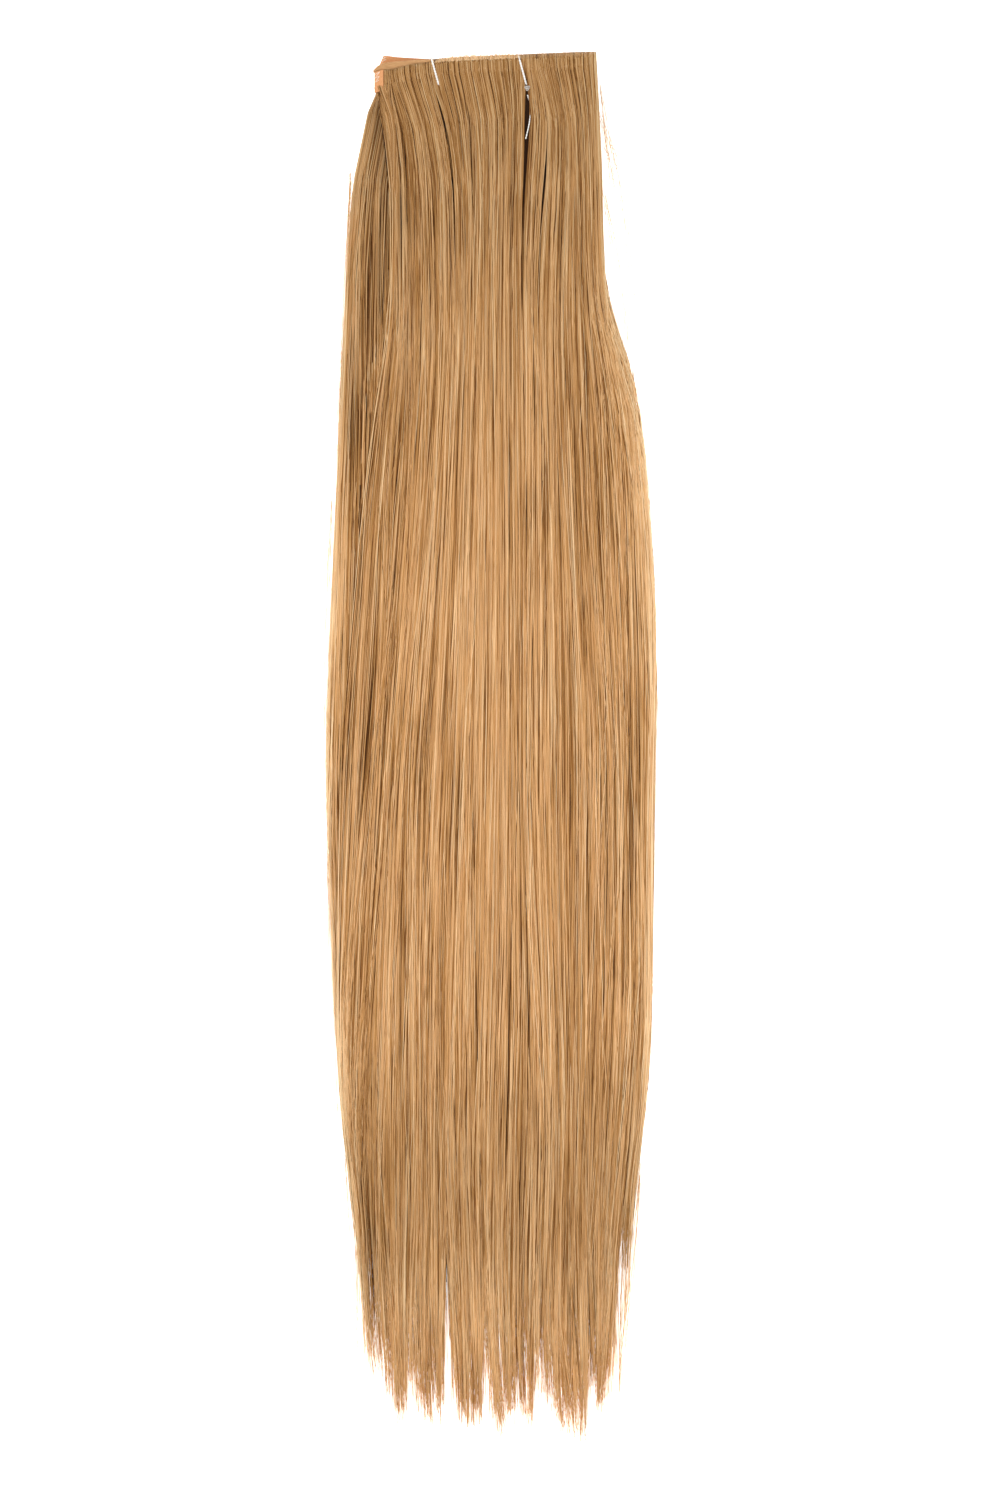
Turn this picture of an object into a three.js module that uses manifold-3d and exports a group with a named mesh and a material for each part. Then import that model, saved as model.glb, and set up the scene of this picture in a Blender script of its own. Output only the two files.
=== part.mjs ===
// A clip-in hair extension, lying on a table as it is stored: one wide weft, folded in half so that its
// snap clips face each other inside, and tied with two white threads. Long straight hair falls from both halves.
// Units are millimetres. X runs along the weft, +Y from the tips to the weft and +Z up from the table.
// The origin is under the middle of the whole extension, on the table.
import * as THREE from "three";
import { mergeVertices } from "three/addons/utils/BufferGeometryUtils.js";
import Module from "manifold-3d";

const wasm = await Module();
wasm.setup();

// Driving sizes of the hair
const HAIR_LENGTH = 610; // from the weft's top edge to the longest tip
const BODY_WIDTH = 146; // the widest spread of the loose hair
const BACK_THICKNESS = 3.6; // the lower curtain where it is fullest
const FRONT_THICKNESS = 3.8; // the upper curtain where it is fullest
const COVER = 1.2; // hair over the outside of the track
const LOCK_TIP_WIDTH = 0.8;
const LOCK_TIP_THICKNESS = 0.4;

// Driving sizes of the weft
const WEFT_FOLDED_LENGTH = 98; // one half of the weft, from its open end to the fold
const FRONT_DROOP = 8.2; // how far the upper half's open end hangs below the fold
const STEADY_DROOP = 0.5; // share of that droop that grows evenly from the fold; the rest is near the open end
const BACK_DROOP = 2.2; // how far the lower half hangs in the middle, between its open end and the fold
const RIBBON_HEIGHT = 9;
const RIBBON_WALL = 1;
const RIBBON_HEM = 4; // the turned-over end that shows beside the hair
const END_LEAN = 3.7; // how far the lower half's open end leans in at its top edge
const TRACK_HEIGHT = 8;
const TRACK_WALL = 1.8;

// Driving sizes of the clips
const CLIP_LENGTH = 28;
const CLIP_HEIGHT = 8;
const CLIP_SETBACK = 3.2; // from the ribbon's top edge down to a clip's rim, by which it is sewn on
const CLIP_THICKNESS = 2.2;
const CLIP_PLATE = 0.9;
const CLIP_RIM = 1.8;
const CLIP_TEETH = 6;
const CLIP_TOOTH_WIDTH = 1;
const CLIP_STEP = 0.25; // how far the comb's parts stand in from each other's faces
const CLIP_FOLD_MARGIN = 4; // from the fold's turn to the nearer clip
const CLIP_SPACING = 5; // between the two clips of one half

// Driving sizes of the tie threads
const THREAD_DIAMETER = 0.9;
const THREAD_REACH = 15.2; // from the weft's top edge to where a thread goes through the hair
const THREAD_TAIL = 19;
const KNOT_DIAMETER = 2.2;
const LEFT_TIE = 24.5; // from the weft's open end
const RIGHT_TIE = 35; // from the weft's fold
const TIE_LEAN = 0.27; // sideways run of a tie for each millimetre down

// Driving sizes of the partings that the ties leave in the upper curtain
const PARTING_DEPTH = 1.4;
const LEFT_PARTING_LENGTH = 22;
const LEFT_PARTING_WIDTH = 1.6;
const RIGHT_PARTING_LENGTH = 34;
const RIGHT_PARTING_WIDTH = 2.2;

const GAP = 0.3; // between pieces that touch on the real thing
const THREAD_SIDES = 8;

// Heights of the folded stack, from the table up
const backTrackLow = COVER + GAP;
const backRibbonLow = backTrackLow + TRACK_WALL + GAP;
const backClipLow = backRibbonLow + RIBBON_WALL + GAP;
const foldHeight = backClipLow + CLIP_THICKNESS + GAP / 2;
const ribbonRadius = foldHeight - backRibbonLow - RIBBON_WALL / 2;
const trackRadius = foldHeight - backTrackLow - TRACK_WALL / 2;
const coverRadius = trackRadius + TRACK_WALL / 2 + GAP;
const stackHeight = 2 * foldHeight;

// Places along the weft
const openEnd = -WEFT_FOLDED_LENGTH / 2;
const foldEnd = WEFT_FOLDED_LENGTH / 2;
const foldCentre = foldEnd - coverRadius - COVER;
const hemRadius = TRACK_WALL / 2 + GAP + RIBBON_WALL / 2;
const hemCentre = openEnd + hemRadius + RIBBON_WALL / 2;

// The outline of the two curtains, the lower at the back and the upper in front. along: share of the hair's length
// from the weft's top edge. backLeft, frontLeft and right: how far the edge has spread, from the weft's end (0) to
// half the body's width (1). body: share of the curtain's full thickness. lift: share of the drop from the weft
// down to the lying hair that is still to come.
const OUTLINE = [
  { along: 0.022, backLeft: 0.05, frontLeft: -0.04, right: 0.02, body: 0.55, lift: 0.97 },
  { along: 0.05, backLeft: 0.17, frontLeft: -0.2, right: 0.06, body: 0.75, lift: 0.74 },
  { along: 0.085, backLeft: 0.37, frontLeft: -0.28, right: 0.11, body: 0.85, lift: 0.46 },
  { along: 0.12, backLeft: 0.49, frontLeft: -0.3, right: 0.15, body: 0.92, lift: 0.24 },
  { along: 0.18, backLeft: 0.54, frontLeft: -0.14, right: 0.27, body: 1.0, lift: 0.04 },
  { along: 0.22, backLeft: 0.6, frontLeft: 0.16, right: 0.6, body: 1.0, lift: 0.01 },
  { along: 0.25, backLeft: 0.65, frontLeft: 0.43, right: 0.81, body: 1.0, lift: 0.0 },
  { along: 0.33, backLeft: 0.72, frontLeft: 0.66, right: 0.99, body: 1.0, lift: 0.0 },
  { along: 0.45, backLeft: 0.87, frontLeft: 0.84, right: 1.09, body: 1.0, lift: 0.0 },
  { along: 0.57, backLeft: 0.95, frontLeft: 0.9, right: 1.06, body: 1.0, lift: 0.0 },
  { along: 0.69, backLeft: 0.77, frontLeft: 0.75, right: 1.01, body: 0.95, lift: 0.0 },
  { along: 0.79, backLeft: 0.6, frontLeft: 0.58, right: 0.83, body: 0.85, lift: 0.0 },
  { along: 0.87, backLeft: 0.37, frontLeft: 0.35, right: 0.63, body: 0.7, lift: 0.0 },
  { along: 0.93, backLeft: 0.2, frontLeft: 0.16, right: 0.3, body: 0.5, lift: 0.0 },
  { along: 1.0, backLeft: -0.1, frontLeft: -0.1, right: 0.08, body: 0.25, lift: 0.0 },
];

// The locks of each curtain, from left to right. end: where the lock's tip is, as a share of the hair's length.
// stray: how far the tip has moved sideways, as a share of the lock's width.
const BACK_LOCKS = [
  { end: 0.94, stray: 0.1 },
  { end: 0.955, stray: 0.3 },
  { end: 0.945, stray: -0.2 },
  { end: 0.975, stray: 0.2 },
  { end: 0.955, stray: -0.2 },
  { end: 0.985, stray: 0.15 },
  { end: 0.965, stray: 0.25 },
  { end: 0.975, stray: -0.25 },
  { end: 0.96, stray: 0.1 },
  { end: 0.945, stray: -0.2 },
];
const FRONT_LOCKS = [
  { end: 0.93, stray: 0.1 },
  { end: 0.945, stray: 0.2 },
  { end: 0.965, stray: -0.1 },
  { end: 0.95, stray: 0.2 },
  { end: 0.985, stray: -0.2 },
  { end: 0.965, stray: 0.15 },
  { end: 1.0, stray: -0.15 },
  { end: 0.975, stray: 0.25 },
  { end: 0.995, stray: -0.2 },
  { end: 0.97, stray: 0.2 },
  { end: 0.985, stray: -0.15 },
  { end: 0.955, stray: -0.2 },
];
const SPLIT = 0.84; // share of the length where the locks begin to part

const COLOURS = {
  hair: { color: "#c49462", roughness: 0.45, metalness: 0 },
  track: { color: "#a5763f", roughness: 0.8, metalness: 0 },
  ribbon: { color: "#d8ab85", roughness: 0.7, metalness: 0 },
  clip: { color: "#8a6a48", roughness: 0.35, metalness: 0.6 },
  thread: { color: "#f6f4f0", roughness: 0.5, metalness: 0 },
};

// Geometry helpers

// A closed geometry through rings of points. A loop joins its last ring to its first, and an open one is capped.
function loft(rings, isLoop = false) {
  const count = rings[0].length;
  const position = rings.flat().flatMap((point) => point.toArray());
  const index = [];
  const spans = isLoop ? rings.length : rings.length - 1;
  for (let ring = 0; ring < spans; ring++) {
    const here = ring * count;
    const next = ((ring + 1) % rings.length) * count;
    for (let k = 0; k < count; k++) {
      const m = (k + 1) % count;
      index.push(here + k, here + m, next + k, here + m, next + m, next + k);
    }
  }
  if (!isLoop) {
    const end = (rings.length - 1) * count;
    for (let k = 1; k < count - 1; k++) {
      index.push(0, k + 1, k, end, end + k, end + k + 1);
    }
  }
  if (signedVolume(position, index) < 0) index.reverse();
  const geometry = new THREE.BufferGeometry();
  geometry.setAttribute("position", new THREE.Float32BufferAttribute(position, 3));
  geometry.setIndex(index);
  return geometry;
}

function signedVolume(position, index) {
  const corner = (i) => new THREE.Vector3().fromArray(position, 3 * index[i]);
  let sum = 0;
  for (let i = 0; i < index.length; i += 3) {
    sum += corner(i).dot(corner(i + 1).cross(corner(i + 2)));
  }
  return sum;
}

// A closed three.js geometry as a solid that can be joined and cut.
function solidOf(geometry) {
  const bare = geometry.clone();
  bare.deleteAttribute("normal");
  bare.deleteAttribute("uv");
  const merged = mergeVertices(bare, 1e-4);
  return new wasm.Manifold(
    new wasm.Mesh({
      numProp: 3,
      vertProperties: merged.attributes.position.array,
      triVerts: new Uint32Array(merged.index.array),
    }),
  );
}

function geometryOf(solid) {
  const mesh = solid.getMesh();
  const geometry = new THREE.BufferGeometry();
  geometry.setAttribute("position", new THREE.BufferAttribute(mesh.vertProperties, mesh.numProp));
  geometry.setIndex(new THREE.BufferAttribute(mesh.triVerts, 1));
  geometry.computeVertexNormals();
  return geometry;
}

function piece(name, finish, geometry) {
  const mesh = new THREE.Mesh(geometry, new THREE.MeshStandardMaterial(COLOURS[finish]));
  mesh.name = name;
  return mesh;
}

const mix = (a, b, share) => a + (b - a) * share;

const LATE_DROOP_POWER = 7; // how close to the open end the rest of the upper half's droop comes

// How far a half's top edge hangs below the fold's at x. The upper half, of side 1, hangs most at its open end, and
// the lower one, of side -1, in its middle.
function droop(x, side) {
  const share = THREE.MathUtils.clamp((foldEnd - x) / WEFT_FOLDED_LENGTH, 0, 1);
  if (side < 0) return BACK_DROOP * Math.sin(Math.PI * share);
  return FRONT_DROOP * (STEADY_DROOP * share + (1 - STEADY_DROOP) * share ** LATE_DROOP_POWER);
}

function droopSlope(x, side) {
  return (droop(x - 1, side) - droop(x + 1, side)) / 2;
}

// The curtains of hair

const DOME_POWER = 4; // how square a lock's top is
const GROOVE = 0.22; // depth of the groove between two locks, as a share of the thickness
const EDGE_FALL = 0.7; // the same, at the curtain's outer edges
const LOCK_STEPS = 4;
const FOLD_LOCK_STEPS = 8; // finer steps across, for the locks that turn round the fold
const FOLD_LOCKS = 2;

// How a lock narrows below the split. along: share of its free length. width and body: shares of the full ones.
const TAPER = [
  { along: 0.35, width: 0.95, body: 0.9 },
  { along: 0.65, width: 0.8, body: 0.7 },
  { along: 0.88, width: 0.42, body: 0.45 },
];
const HEAD_HEIGHT = RIBBON_HEIGHT + GAP; // the stretch of hair that lies on the track
const DROOP_REACH = 0.16; // share of the length over which a curtain takes up its droop

// The rows of one curtain as lengths: two at the head, over the track, and then the outline's. lean is how far the
// open end leans in at its top edge.
function curtainRows(leftColumn, thickness, lean) {
  const headRows = [0, HEAD_HEIGHT].map((down) => ({
    down,
    left: openEnd + RIBBON_HEM + GAP + lean * (1 - down / HEAD_HEIGHT),
    right: foldEnd - COVER,
    thick: COVER,
    drop: stackHeight - COVER,
    backTop: COVER,
  }));
  const halfWidth = BODY_WIDTH / 2;
  const bodyRows = OUTLINE.map((row) => ({
    down: row.along * HAIR_LENGTH,
    left: mix(openEnd, -halfWidth, row[leftColumn]),
    right: mix(foldEnd, halfWidth, row.right) - COVER,
    thick: thickness * row.body,
    drop: mix(BACK_THICKNESS * row.body + GAP, stackHeight - thickness * row.body - GAP, row.lift),
    backTop: BACK_THICKNESS * row.body,
  }));
  return [...headRows, ...bodyRows];
}

// One row at a distance down the hair, between the two rows that hold it.
function rowAt(rows, down) {
  const after = Math.max(1, rows.findIndex((row) => row.down >= down));
  const low = rows[after - 1];
  const high = rows[after];
  const share = (down - low.down) / (high.down - low.down);
  return Object.fromEntries(Object.keys(low).map((key) => [key, mix(low[key], high[key], share)]));
}

// Half the clear height between the two curtains, which is the radius of their turn round the fold.
function turnRadius(row) {
  return Math.max(GAP, (row.drop - row.backTop) / 2);
}

// A point of a curtain at x across, down along and z up, carried round the fold where it lies beyond it.
// side is 1 for the upper curtain and -1 for the lower one.
function curtainPoint(row, x, z, down, side) {
  const inner = turnRadius(row);
  const centreHeight = (row.drop + row.backTop) / 2;
  const centreX = row.right - inner;
  const radius = side * (z - centreHeight);
  const angle = THREE.MathUtils.clamp((x - centreX) / inner, 0, Math.PI / 2 - (2 * GAP) / inner);
  const wrapped = x > centreX;
  const straightened = THREE.MathUtils.clamp((down - HEAD_HEIGHT) / (DROOP_REACH * HAIR_LENGTH), 0, 1);
  const sag = droop(x, side) * (1 - straightened);
  return new THREE.Vector3(
    wrapped ? centreX + radius * Math.sin(angle) : x,
    -down - sag,
    wrapped ? centreHeight + side * radius * Math.cos(angle) : z,
  );
}

// The section of one lock at a distance down: its base and its domed top, as lists of points from left to right.
// taper narrows and thins it, and stray moves it sideways.
function lockSection(rows, down, number, locks, taper, side) {
  const row = rowAt(rows, down);
  const inner = turnRadius(row);
  const rightArc = row.right - inner + inner * (Math.PI / 2) - 2 * GAP;
  const width = (rightArc - row.left) / locks.length;
  const centre = number + 0.5 + taper.stray;
  const last = locks.length - 1;
  const steps = number > last - FOLD_LOCKS ? FOLD_LOCK_STEPS : LOCK_STEPS;
  const across = [...Array(steps + 1).keys()].map((i) => (2 * i) / steps - 1);
  const point = (share, rise) => {
    const z = (side > 0 ? row.drop : 0) + rise * row.thick * taper.body;
    return curtainPoint(row, row.left + width * (centre + (share * taper.width) / 2), z, down, side);
  };
  const fall = (share) => {
    const isOuter = (number === 0 && share < 0) || (number === last && share > 0);
    return (isOuter ? EDGE_FALL : GROOVE) * Math.abs(share) ** DOME_POWER;
  };
  return {
    base: across.map((share) => point(share, 0)),
    top: across.map((share) => point(share, 1 - fall(share))),
  };
}

// A whole curtain: its locks lie side by side in one body, and part below the split. side is 1 for the upper one.
function curtain(rows, locks, side) {
  const position = [];
  const face = (a, b, c, d) => {
    for (const point of [a, b, c, a, c, d]) position.push(...point.toArray());
  };
  const whole = { width: 1, body: 1, stray: 0 };
  const splitDown = SPLIT * HAIR_LENGTH;
  const shared = [...rows.map((row) => row.down).filter((down) => down < splitDown - 1), splitDown];
  locks.forEach((lock, number) => {
    const sections = shared.map((down) => lockSection(rows, down, number, locks, whole, side));
    const free = lock.end * HAIR_LENGTH - splitDown;
    const tipWidth = (LOCK_TIP_WIDTH * locks.length) / BODY_WIDTH;
    const tip = { along: 1, width: tipWidth, body: LOCK_TIP_THICKNESS / COVER };
    for (const { along, width, body } of [...TAPER, tip]) {
      const taper = { width, body, stray: lock.stray * along };
      sections.push(lockSection(rows, splitDown + along * free, number, locks, taper, side));
    }
    const steps = sections[0].base.length - 1;
    for (let s = 0; s < sections.length - 1; s++) {
      const [here, next] = [sections[s], sections[s + 1]];
      for (let k = 0; k < steps; k++) {
        face(here.base[k], here.base[k + 1], next.base[k + 1], next.base[k]);
        face(here.top[k], next.top[k], next.top[k + 1], here.top[k + 1]);
      }
      const isFree = s >= shared.length - 1;
      if (isFree || number === 0) face(here.base[0], next.base[0], next.top[0], here.top[0]);
      if (isFree || number === locks.length - 1) {
        face(here.base[steps], here.top[steps], next.top[steps], next.base[steps]);
      }
    }
    const [head, end] = [sections[0], sections.at(-1)];
    for (let k = 0; k < steps; k++) {
      face(head.base[k], head.top[k], head.top[k + 1], head.base[k + 1]);
      face(end.base[k], end.base[k + 1], end.top[k + 1], end.top[k]);
    }
  });
  const geometry = new THREE.BufferGeometry();
  geometry.setAttribute("position", new THREE.Float32BufferAttribute(position, 3));
  return solidOf(geometry);
}

// The folded strips: the ribbon and the track that is sewn to it

// A strip on edge that runs from the open end of the upper half, round the fold, to the open end of the lower
// half. path is its middle line seen from above the weft's top edge, as points of x and z. Where a point leans, the
// strip's top edge stands further in there than its bottom edge.
function stripOnEdge(path, wall, height, inset) {
  const rings = path.map((point, i) => {
    const before = path[Math.max(0, i - 1)];
    const after = path[Math.min(path.length - 1, i + 1)];
    const along = new THREE.Vector2(after.x - before.x, after.z - before.z).normalize();
    const x = along.y * (wall / 2);
    const z = -along.x * (wall / 2);
    const top = -inset - droop(point.x, point.upper ? 1 : -1);
    const topX = point.x + point.lean * (1 - inset / RIBBON_HEIGHT);
    const lowX = point.x + point.lean * (1 - (inset + height) / RIBBON_HEIGHT);
    return [
      new THREE.Vector3(topX - x, top, point.z - z),
      new THREE.Vector3(topX + x, top, point.z + z),
      new THREE.Vector3(lowX + x, top - height, point.z + z),
      new THREE.Vector3(lowX - x, top - height, point.z - z),
    ];
  });
  return loft(rings);
}

const STRIP_STEPS = 12;
const TURN_STEPS = 10;

// The straight run of the upper half, the turn round the fold and the straight run of the lower half.
function foldedPath(radius, start) {
  const steps = [...Array(STRIP_STEPS + 1).keys()];
  const run = steps.map((i) => mix(start, foldCentre, i / STRIP_STEPS));
  const turn = [...Array(TURN_STEPS - 1).keys()].map((i) => (Math.PI * (i + 1)) / TURN_STEPS);
  return [
    ...run.map((x) => ({ x, z: foldHeight + radius, upper: true, lean: 0 })),
    ...turn.map((angle) => ({
      x: foldCentre + radius * Math.sin(angle),
      z: foldHeight + radius * Math.cos(angle),
      upper: angle < Math.PI / 2,
      lean: 0,
    })),
    ...run.reverse().map((x) => ({ x, z: foldHeight - radius, upper: false, lean: x === start ? END_LEAN : 0 })),
  ];
}

const HEM_STEPS = 6;

// The ribbon's turned-over end round the track, from the outer face to the inner one. side is 1 for the upper half.
function hemPath(side) {
  const angles = [...Array(HEM_STEPS).keys()].map((i) => (Math.PI * i) / HEM_STEPS);
  const middle = foldHeight + side * trackRadius;
  const half = { upper: side > 0, lean: side > 0 ? 0 : END_LEAN };
  const turned = angles.map((angle) => ({
    x: hemCentre - hemRadius * Math.sin(angle),
    z: middle + side * hemRadius * Math.cos(angle),
    ...half,
  }));
  return [{ x: openEnd + RIBBON_HEM, z: middle + side * hemRadius, ...half }, ...turned];
}

function ribbon() {
  const path = [...hemPath(1), ...foldedPath(ribbonRadius, hemCentre), ...hemPath(-1).reverse()];
  return stripOnEdge(path, RIBBON_WALL, RIBBON_HEIGHT, 0);
}

function track() {
  const inset = (RIBBON_HEIGHT - TRACK_HEIGHT) / 2;
  return stripOnEdge(foldedPath(trackRadius, hemCentre), TRACK_WALL, TRACK_HEIGHT, inset);
}

// The snap clips, each a plate with a window and a row of comb teeth under it

const CLIP_ARC_STEPS = 4;

function clipShape() {
  const round = CLIP_HEIGHT / 2;
  const straight = CLIP_LENGTH / 2 - round;
  const shape = new THREE.Shape();
  shape.absarc(straight, 0, round, -Math.PI / 2, Math.PI / 2, false);
  shape.absarc(-straight, 0, round, Math.PI / 2, (3 * Math.PI) / 2, false);
  const window = new THREE.Path();
  const inner = round - CLIP_RIM;
  window.absarc(straight, 0, inner, Math.PI / 2, -Math.PI / 2, true);
  window.absarc(-straight, 0, inner, (3 * Math.PI) / 2, Math.PI / 2, true);
  shape.holes.push(window);
  return shape;
}

// A box from its lowest corner to its highest one.
function block(low, high) {
  const size = high.map((value, axis) => value - low[axis]);
  const box = new THREE.BoxGeometry(...size);
  box.translate(...high.map((value, axis) => (value + low[axis]) / 2));
  return solidOf(box);
}

function clip() {
  const options = { depth: CLIP_PLATE, bevelEnabled: false, curveSegments: CLIP_ARC_STEPS };
  const plate = solidOf(new THREE.ExtrudeGeometry(clipShape(), options));
  const rimMiddle = (CLIP_HEIGHT - CLIP_RIM) / 2;
  const barEnd = (CLIP_LENGTH - CLIP_HEIGHT) / 2;
  const barHalf = CLIP_RIM / 2 - CLIP_STEP;
  const bar = block(
    [-barEnd, rimMiddle - barHalf, CLIP_PLATE / 2],
    [barEnd, rimMiddle + barHalf, CLIP_THICKNESS],
  );
  const pitch = (2 * barEnd) / CLIP_TEETH;
  let solid = plate.add(bar);
  for (let tooth = 0; tooth < CLIP_TEETH; tooth++) {
    const x = (tooth - (CLIP_TEETH - 1) / 2) * pitch;
    const prong = block(
      [x - CLIP_TOOTH_WIDTH / 2, -rimMiddle, CLIP_PLATE + GAP],
      [x + CLIP_TOOTH_WIDTH / 2, rimMiddle, CLIP_THICKNESS - CLIP_STEP],
    );
    solid = solid.add(prong);
  }
  return geometryOf(solid);
}

// One clip on the inner face of the ribbon. side is 1 for the upper half, whose clips hang under it.
function placedClip(name, x, side) {
  const mesh = piece(name, "clip", clip());
  const sag = droop(x, side);
  const turn = Math.atan(droopSlope(x, side));
  const seat = side > 0 ? foldHeight + ribbonRadius - RIBBON_WALL / 2 - GAP : backClipLow;
  mesh.position.set(x, -CLIP_SETBACK - CLIP_HEIGHT / 2 - sag, seat);
  mesh.rotation.set(0, side > 0 ? Math.PI : 0, -side * turn);
  return mesh;
}

// The tie threads

// A closed line through corners, each rounded off with a few points.
function roundedLoop(corners, radius) {
  const shares = [0, 0.25, 0.5, 0.75, 1];
  return corners.flatMap((corner, i) => {
    const before = corners[(i + corners.length - 1) % corners.length];
    const after = corners[(i + 1) % corners.length];
    const start = corner.clone().add(before.clone().sub(corner).setLength(radius));
    const end = corner.clone().add(after.clone().sub(corner).setLength(radius));
    const bend = new THREE.QuadraticBezierCurve3(start, corner, end);
    return shares.map((share) => bend.getPoint(share));
  });
}

// A round tube along points that lie nearly in one plane, whose normal is given.
function tube(points, normal, radii, isLoop) {
  const rings = points.map((point, i) => {
    const before = isLoop ? points[(i + points.length - 1) % points.length] : points[Math.max(0, i - 1)];
    const after = isLoop ? points[(i + 1) % points.length] : points[Math.min(points.length - 1, i + 1)];
    const along = after.clone().sub(before).normalize();
    const side = new THREE.Vector3().crossVectors(normal, along).normalize();
    const across = new THREE.Vector3().crossVectors(along, side);
    return [...Array(THREAD_SIDES).keys()].map((k) => {
      const angle = (2 * Math.PI * k) / THREAD_SIDES;
      return point
        .clone()
        .addScaledVector(side, radii[i] * Math.cos(angle))
        .addScaledVector(across, radii[i] * Math.sin(angle));
    });
  });
  return loft(rings, isLoop);
}

// The corners of a tie: under the lower half, over its top edge, over the upper half's, down and through the hair.
function tieCorners(x) {
  const out = THREAD_DIAMETER / 2 + GAP;
  const top = stackHeight + out;
  const low = out;
  const lean = (y) => x - y * TIE_LEAN;
  const upperEdge = out - droop(x, 1);
  const lowerEdge = out - droop(x, -1);
  return [
    new THREE.Vector3(lean(-THREAD_REACH), -THREAD_REACH, low),
    new THREE.Vector3(lean(lowerEdge), lowerEdge, low),
    new THREE.Vector3(lean(lowerEdge), lowerEdge, foldHeight),
    new THREE.Vector3(lean(upperEdge), upperEdge, top),
    new THREE.Vector3(lean(-THREAD_REACH), -THREAD_REACH, top),
  ];
}

const TIE_BEND = 1.3;
const TIE_NORMAL = new THREE.Vector3(1, TIE_LEAN, 0).normalize();

function tieLoop(x, radius) {
  const points = roundedLoop(tieCorners(x), TIE_BEND);
  return tube(points, TIE_NORMAL, Array(points.length).fill(radius), true);
}

// Where the surface of the upper curtain lies, at a distance down from the weft's top edge.
function frontSurface(rows, down) {
  const row = rowAt(rows, down);
  return row.drop + row.thick;
}

// A parting along its length. along: share of the length. width: share of the full width, and of the full depth.
const PARTING_SHAPE = [
  { along: 0, width: 0.8 },
  { along: 0.25, width: 1 },
  { along: 0.6, width: 0.7 },
  { along: 1, width: 0.15 },
];

// A parting of the upper curtain below a tie: a narrow channel that runs out to a point.
function parting(rows, x, length, fullWidth) {
  const rings = PARTING_SHAPE.map(({ along, width }) => {
    const down = THREAD_REACH + GAP + along * length;
    const half = (width * fullWidth) / 2;
    const centre = x + THREAD_REACH * TIE_LEAN + (along * fullWidth) / 2;
    const surface = frontSurface(rows, down);
    const top = surface + PARTING_DEPTH;
    const floor = surface - PARTING_DEPTH * width;
    return [
      new THREE.Vector3(centre - half, -down, top),
      new THREE.Vector3(centre + half, -down, top),
      new THREE.Vector3(centre + half, -down, floor),
      new THREE.Vector3(centre - half, -down, floor),
    ];
  });
  return solidOf(loft(rings));
}

// The tail along its length. along: share of the length. radius: share of the thread's radius.
const TAIL_SHAPE = [
  { along: 0, radius: 1 },
  { along: 0.3, radius: 1 },
  { along: 0.65, radius: 1 },
  { along: 1, radius: 0.6 },
];
const KNOT_SIDES = 10;
const KNOT_RINGS = 6;

// The knot and the loose end of the right-hand tie, which lies along its parting.
function knotAndTail(rows, x) {
  const radius = THREAD_DIAMETER / 2;
  const start = new THREE.Vector3(x + THREAD_REACH * TIE_LEAN, -THREAD_REACH, stackHeight + GAP + radius);
  const knot = new THREE.SphereGeometry(KNOT_DIAMETER / 2, KNOT_SIDES, KNOT_RINGS);
  knot.translate(start.x, start.y, start.z);
  const points = TAIL_SHAPE.map(({ along }) => {
    if (along === 0) return start;
    const down = THREAD_REACH + along * THREAD_TAIL;
    return new THREE.Vector3(start.x + along * radius, -down, frontSurface(rows, down) + radius + GAP / 2);
  });
  const radii = TAIL_SHAPE.map((section) => section.radius * radius);
  return solidOf(knot).add(solidOf(tube(points, new THREE.Vector3(1, 0, 0), radii, false)));
}

// The assembly

const frontRows = curtainRows("frontLeft", FRONT_THICKNESS, 0);
const backRows = curtainRows("backLeft", BACK_THICKNESS, END_LEAN);
const leftTie = openEnd + LEFT_TIE;
const rightTie = foldEnd - RIGHT_TIE;
const cutRadius = THREAD_DIAMETER / 2 + GAP;
const tieCuts = [leftTie, rightTie].map((x) => solidOf(tieLoop(x, cutRadius)));

function assembly() {
  const group = new THREE.Group();
  let front = curtain(frontRows, FRONT_LOCKS, 1);
  let back = curtain(backRows, BACK_LOCKS, -1);
  for (const cut of tieCuts) {
    front = front.subtract(cut);
    back = back.subtract(cut);
  }
  front = front.subtract(parting(frontRows, leftTie, LEFT_PARTING_LENGTH, LEFT_PARTING_WIDTH));
  front = front.subtract(parting(frontRows, rightTie, RIGHT_PARTING_LENGTH, RIGHT_PARTING_WIDTH));
  group.add(piece("front_hair", "hair", geometryOf(front)));
  group.add(piece("back_hair", "hair", geometryOf(back)));
  group.add(piece("weft_track", "track", track()));
  group.add(piece("weft_ribbon", "ribbon", ribbon()));
  const rightClip = foldCentre - CLIP_FOLD_MARGIN - CLIP_LENGTH / 2;
  const leftClip = rightClip - CLIP_LENGTH - CLIP_SPACING;
  for (const [side, half] of [
    [1, "front"],
    [-1, "back"],
  ]) {
    group.add(placedClip(`${half}_clip_left`, leftClip, side));
    group.add(placedClip(`${half}_clip_right`, rightClip, side));
  }
  const radius = THREAD_DIAMETER / 2;
  group.add(piece("tie_thread_left", "thread", tieLoop(leftTie, radius)));
  const right = solidOf(tieLoop(rightTie, radius)).add(knotAndTail(frontRows, rightTie));
  group.add(piece("tie_thread_right", "thread", geometryOf(right)));
  return group;
}

// The origin goes under the middle of the whole extension.
const extension = assembly();
const bounds = new THREE.Box3().setFromObject(extension);
const middle = bounds.getCenter(new THREE.Vector3());
extension.position.set(-middle.x, -middle.y, -bounds.min.z);

export default extension;
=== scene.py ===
# A clip-in hair extension that lies folded on a pale table, seen from straight above.
import math

import bpy
import numpy as np
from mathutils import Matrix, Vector
from mathutils.bvhtree import BVHTree


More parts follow.
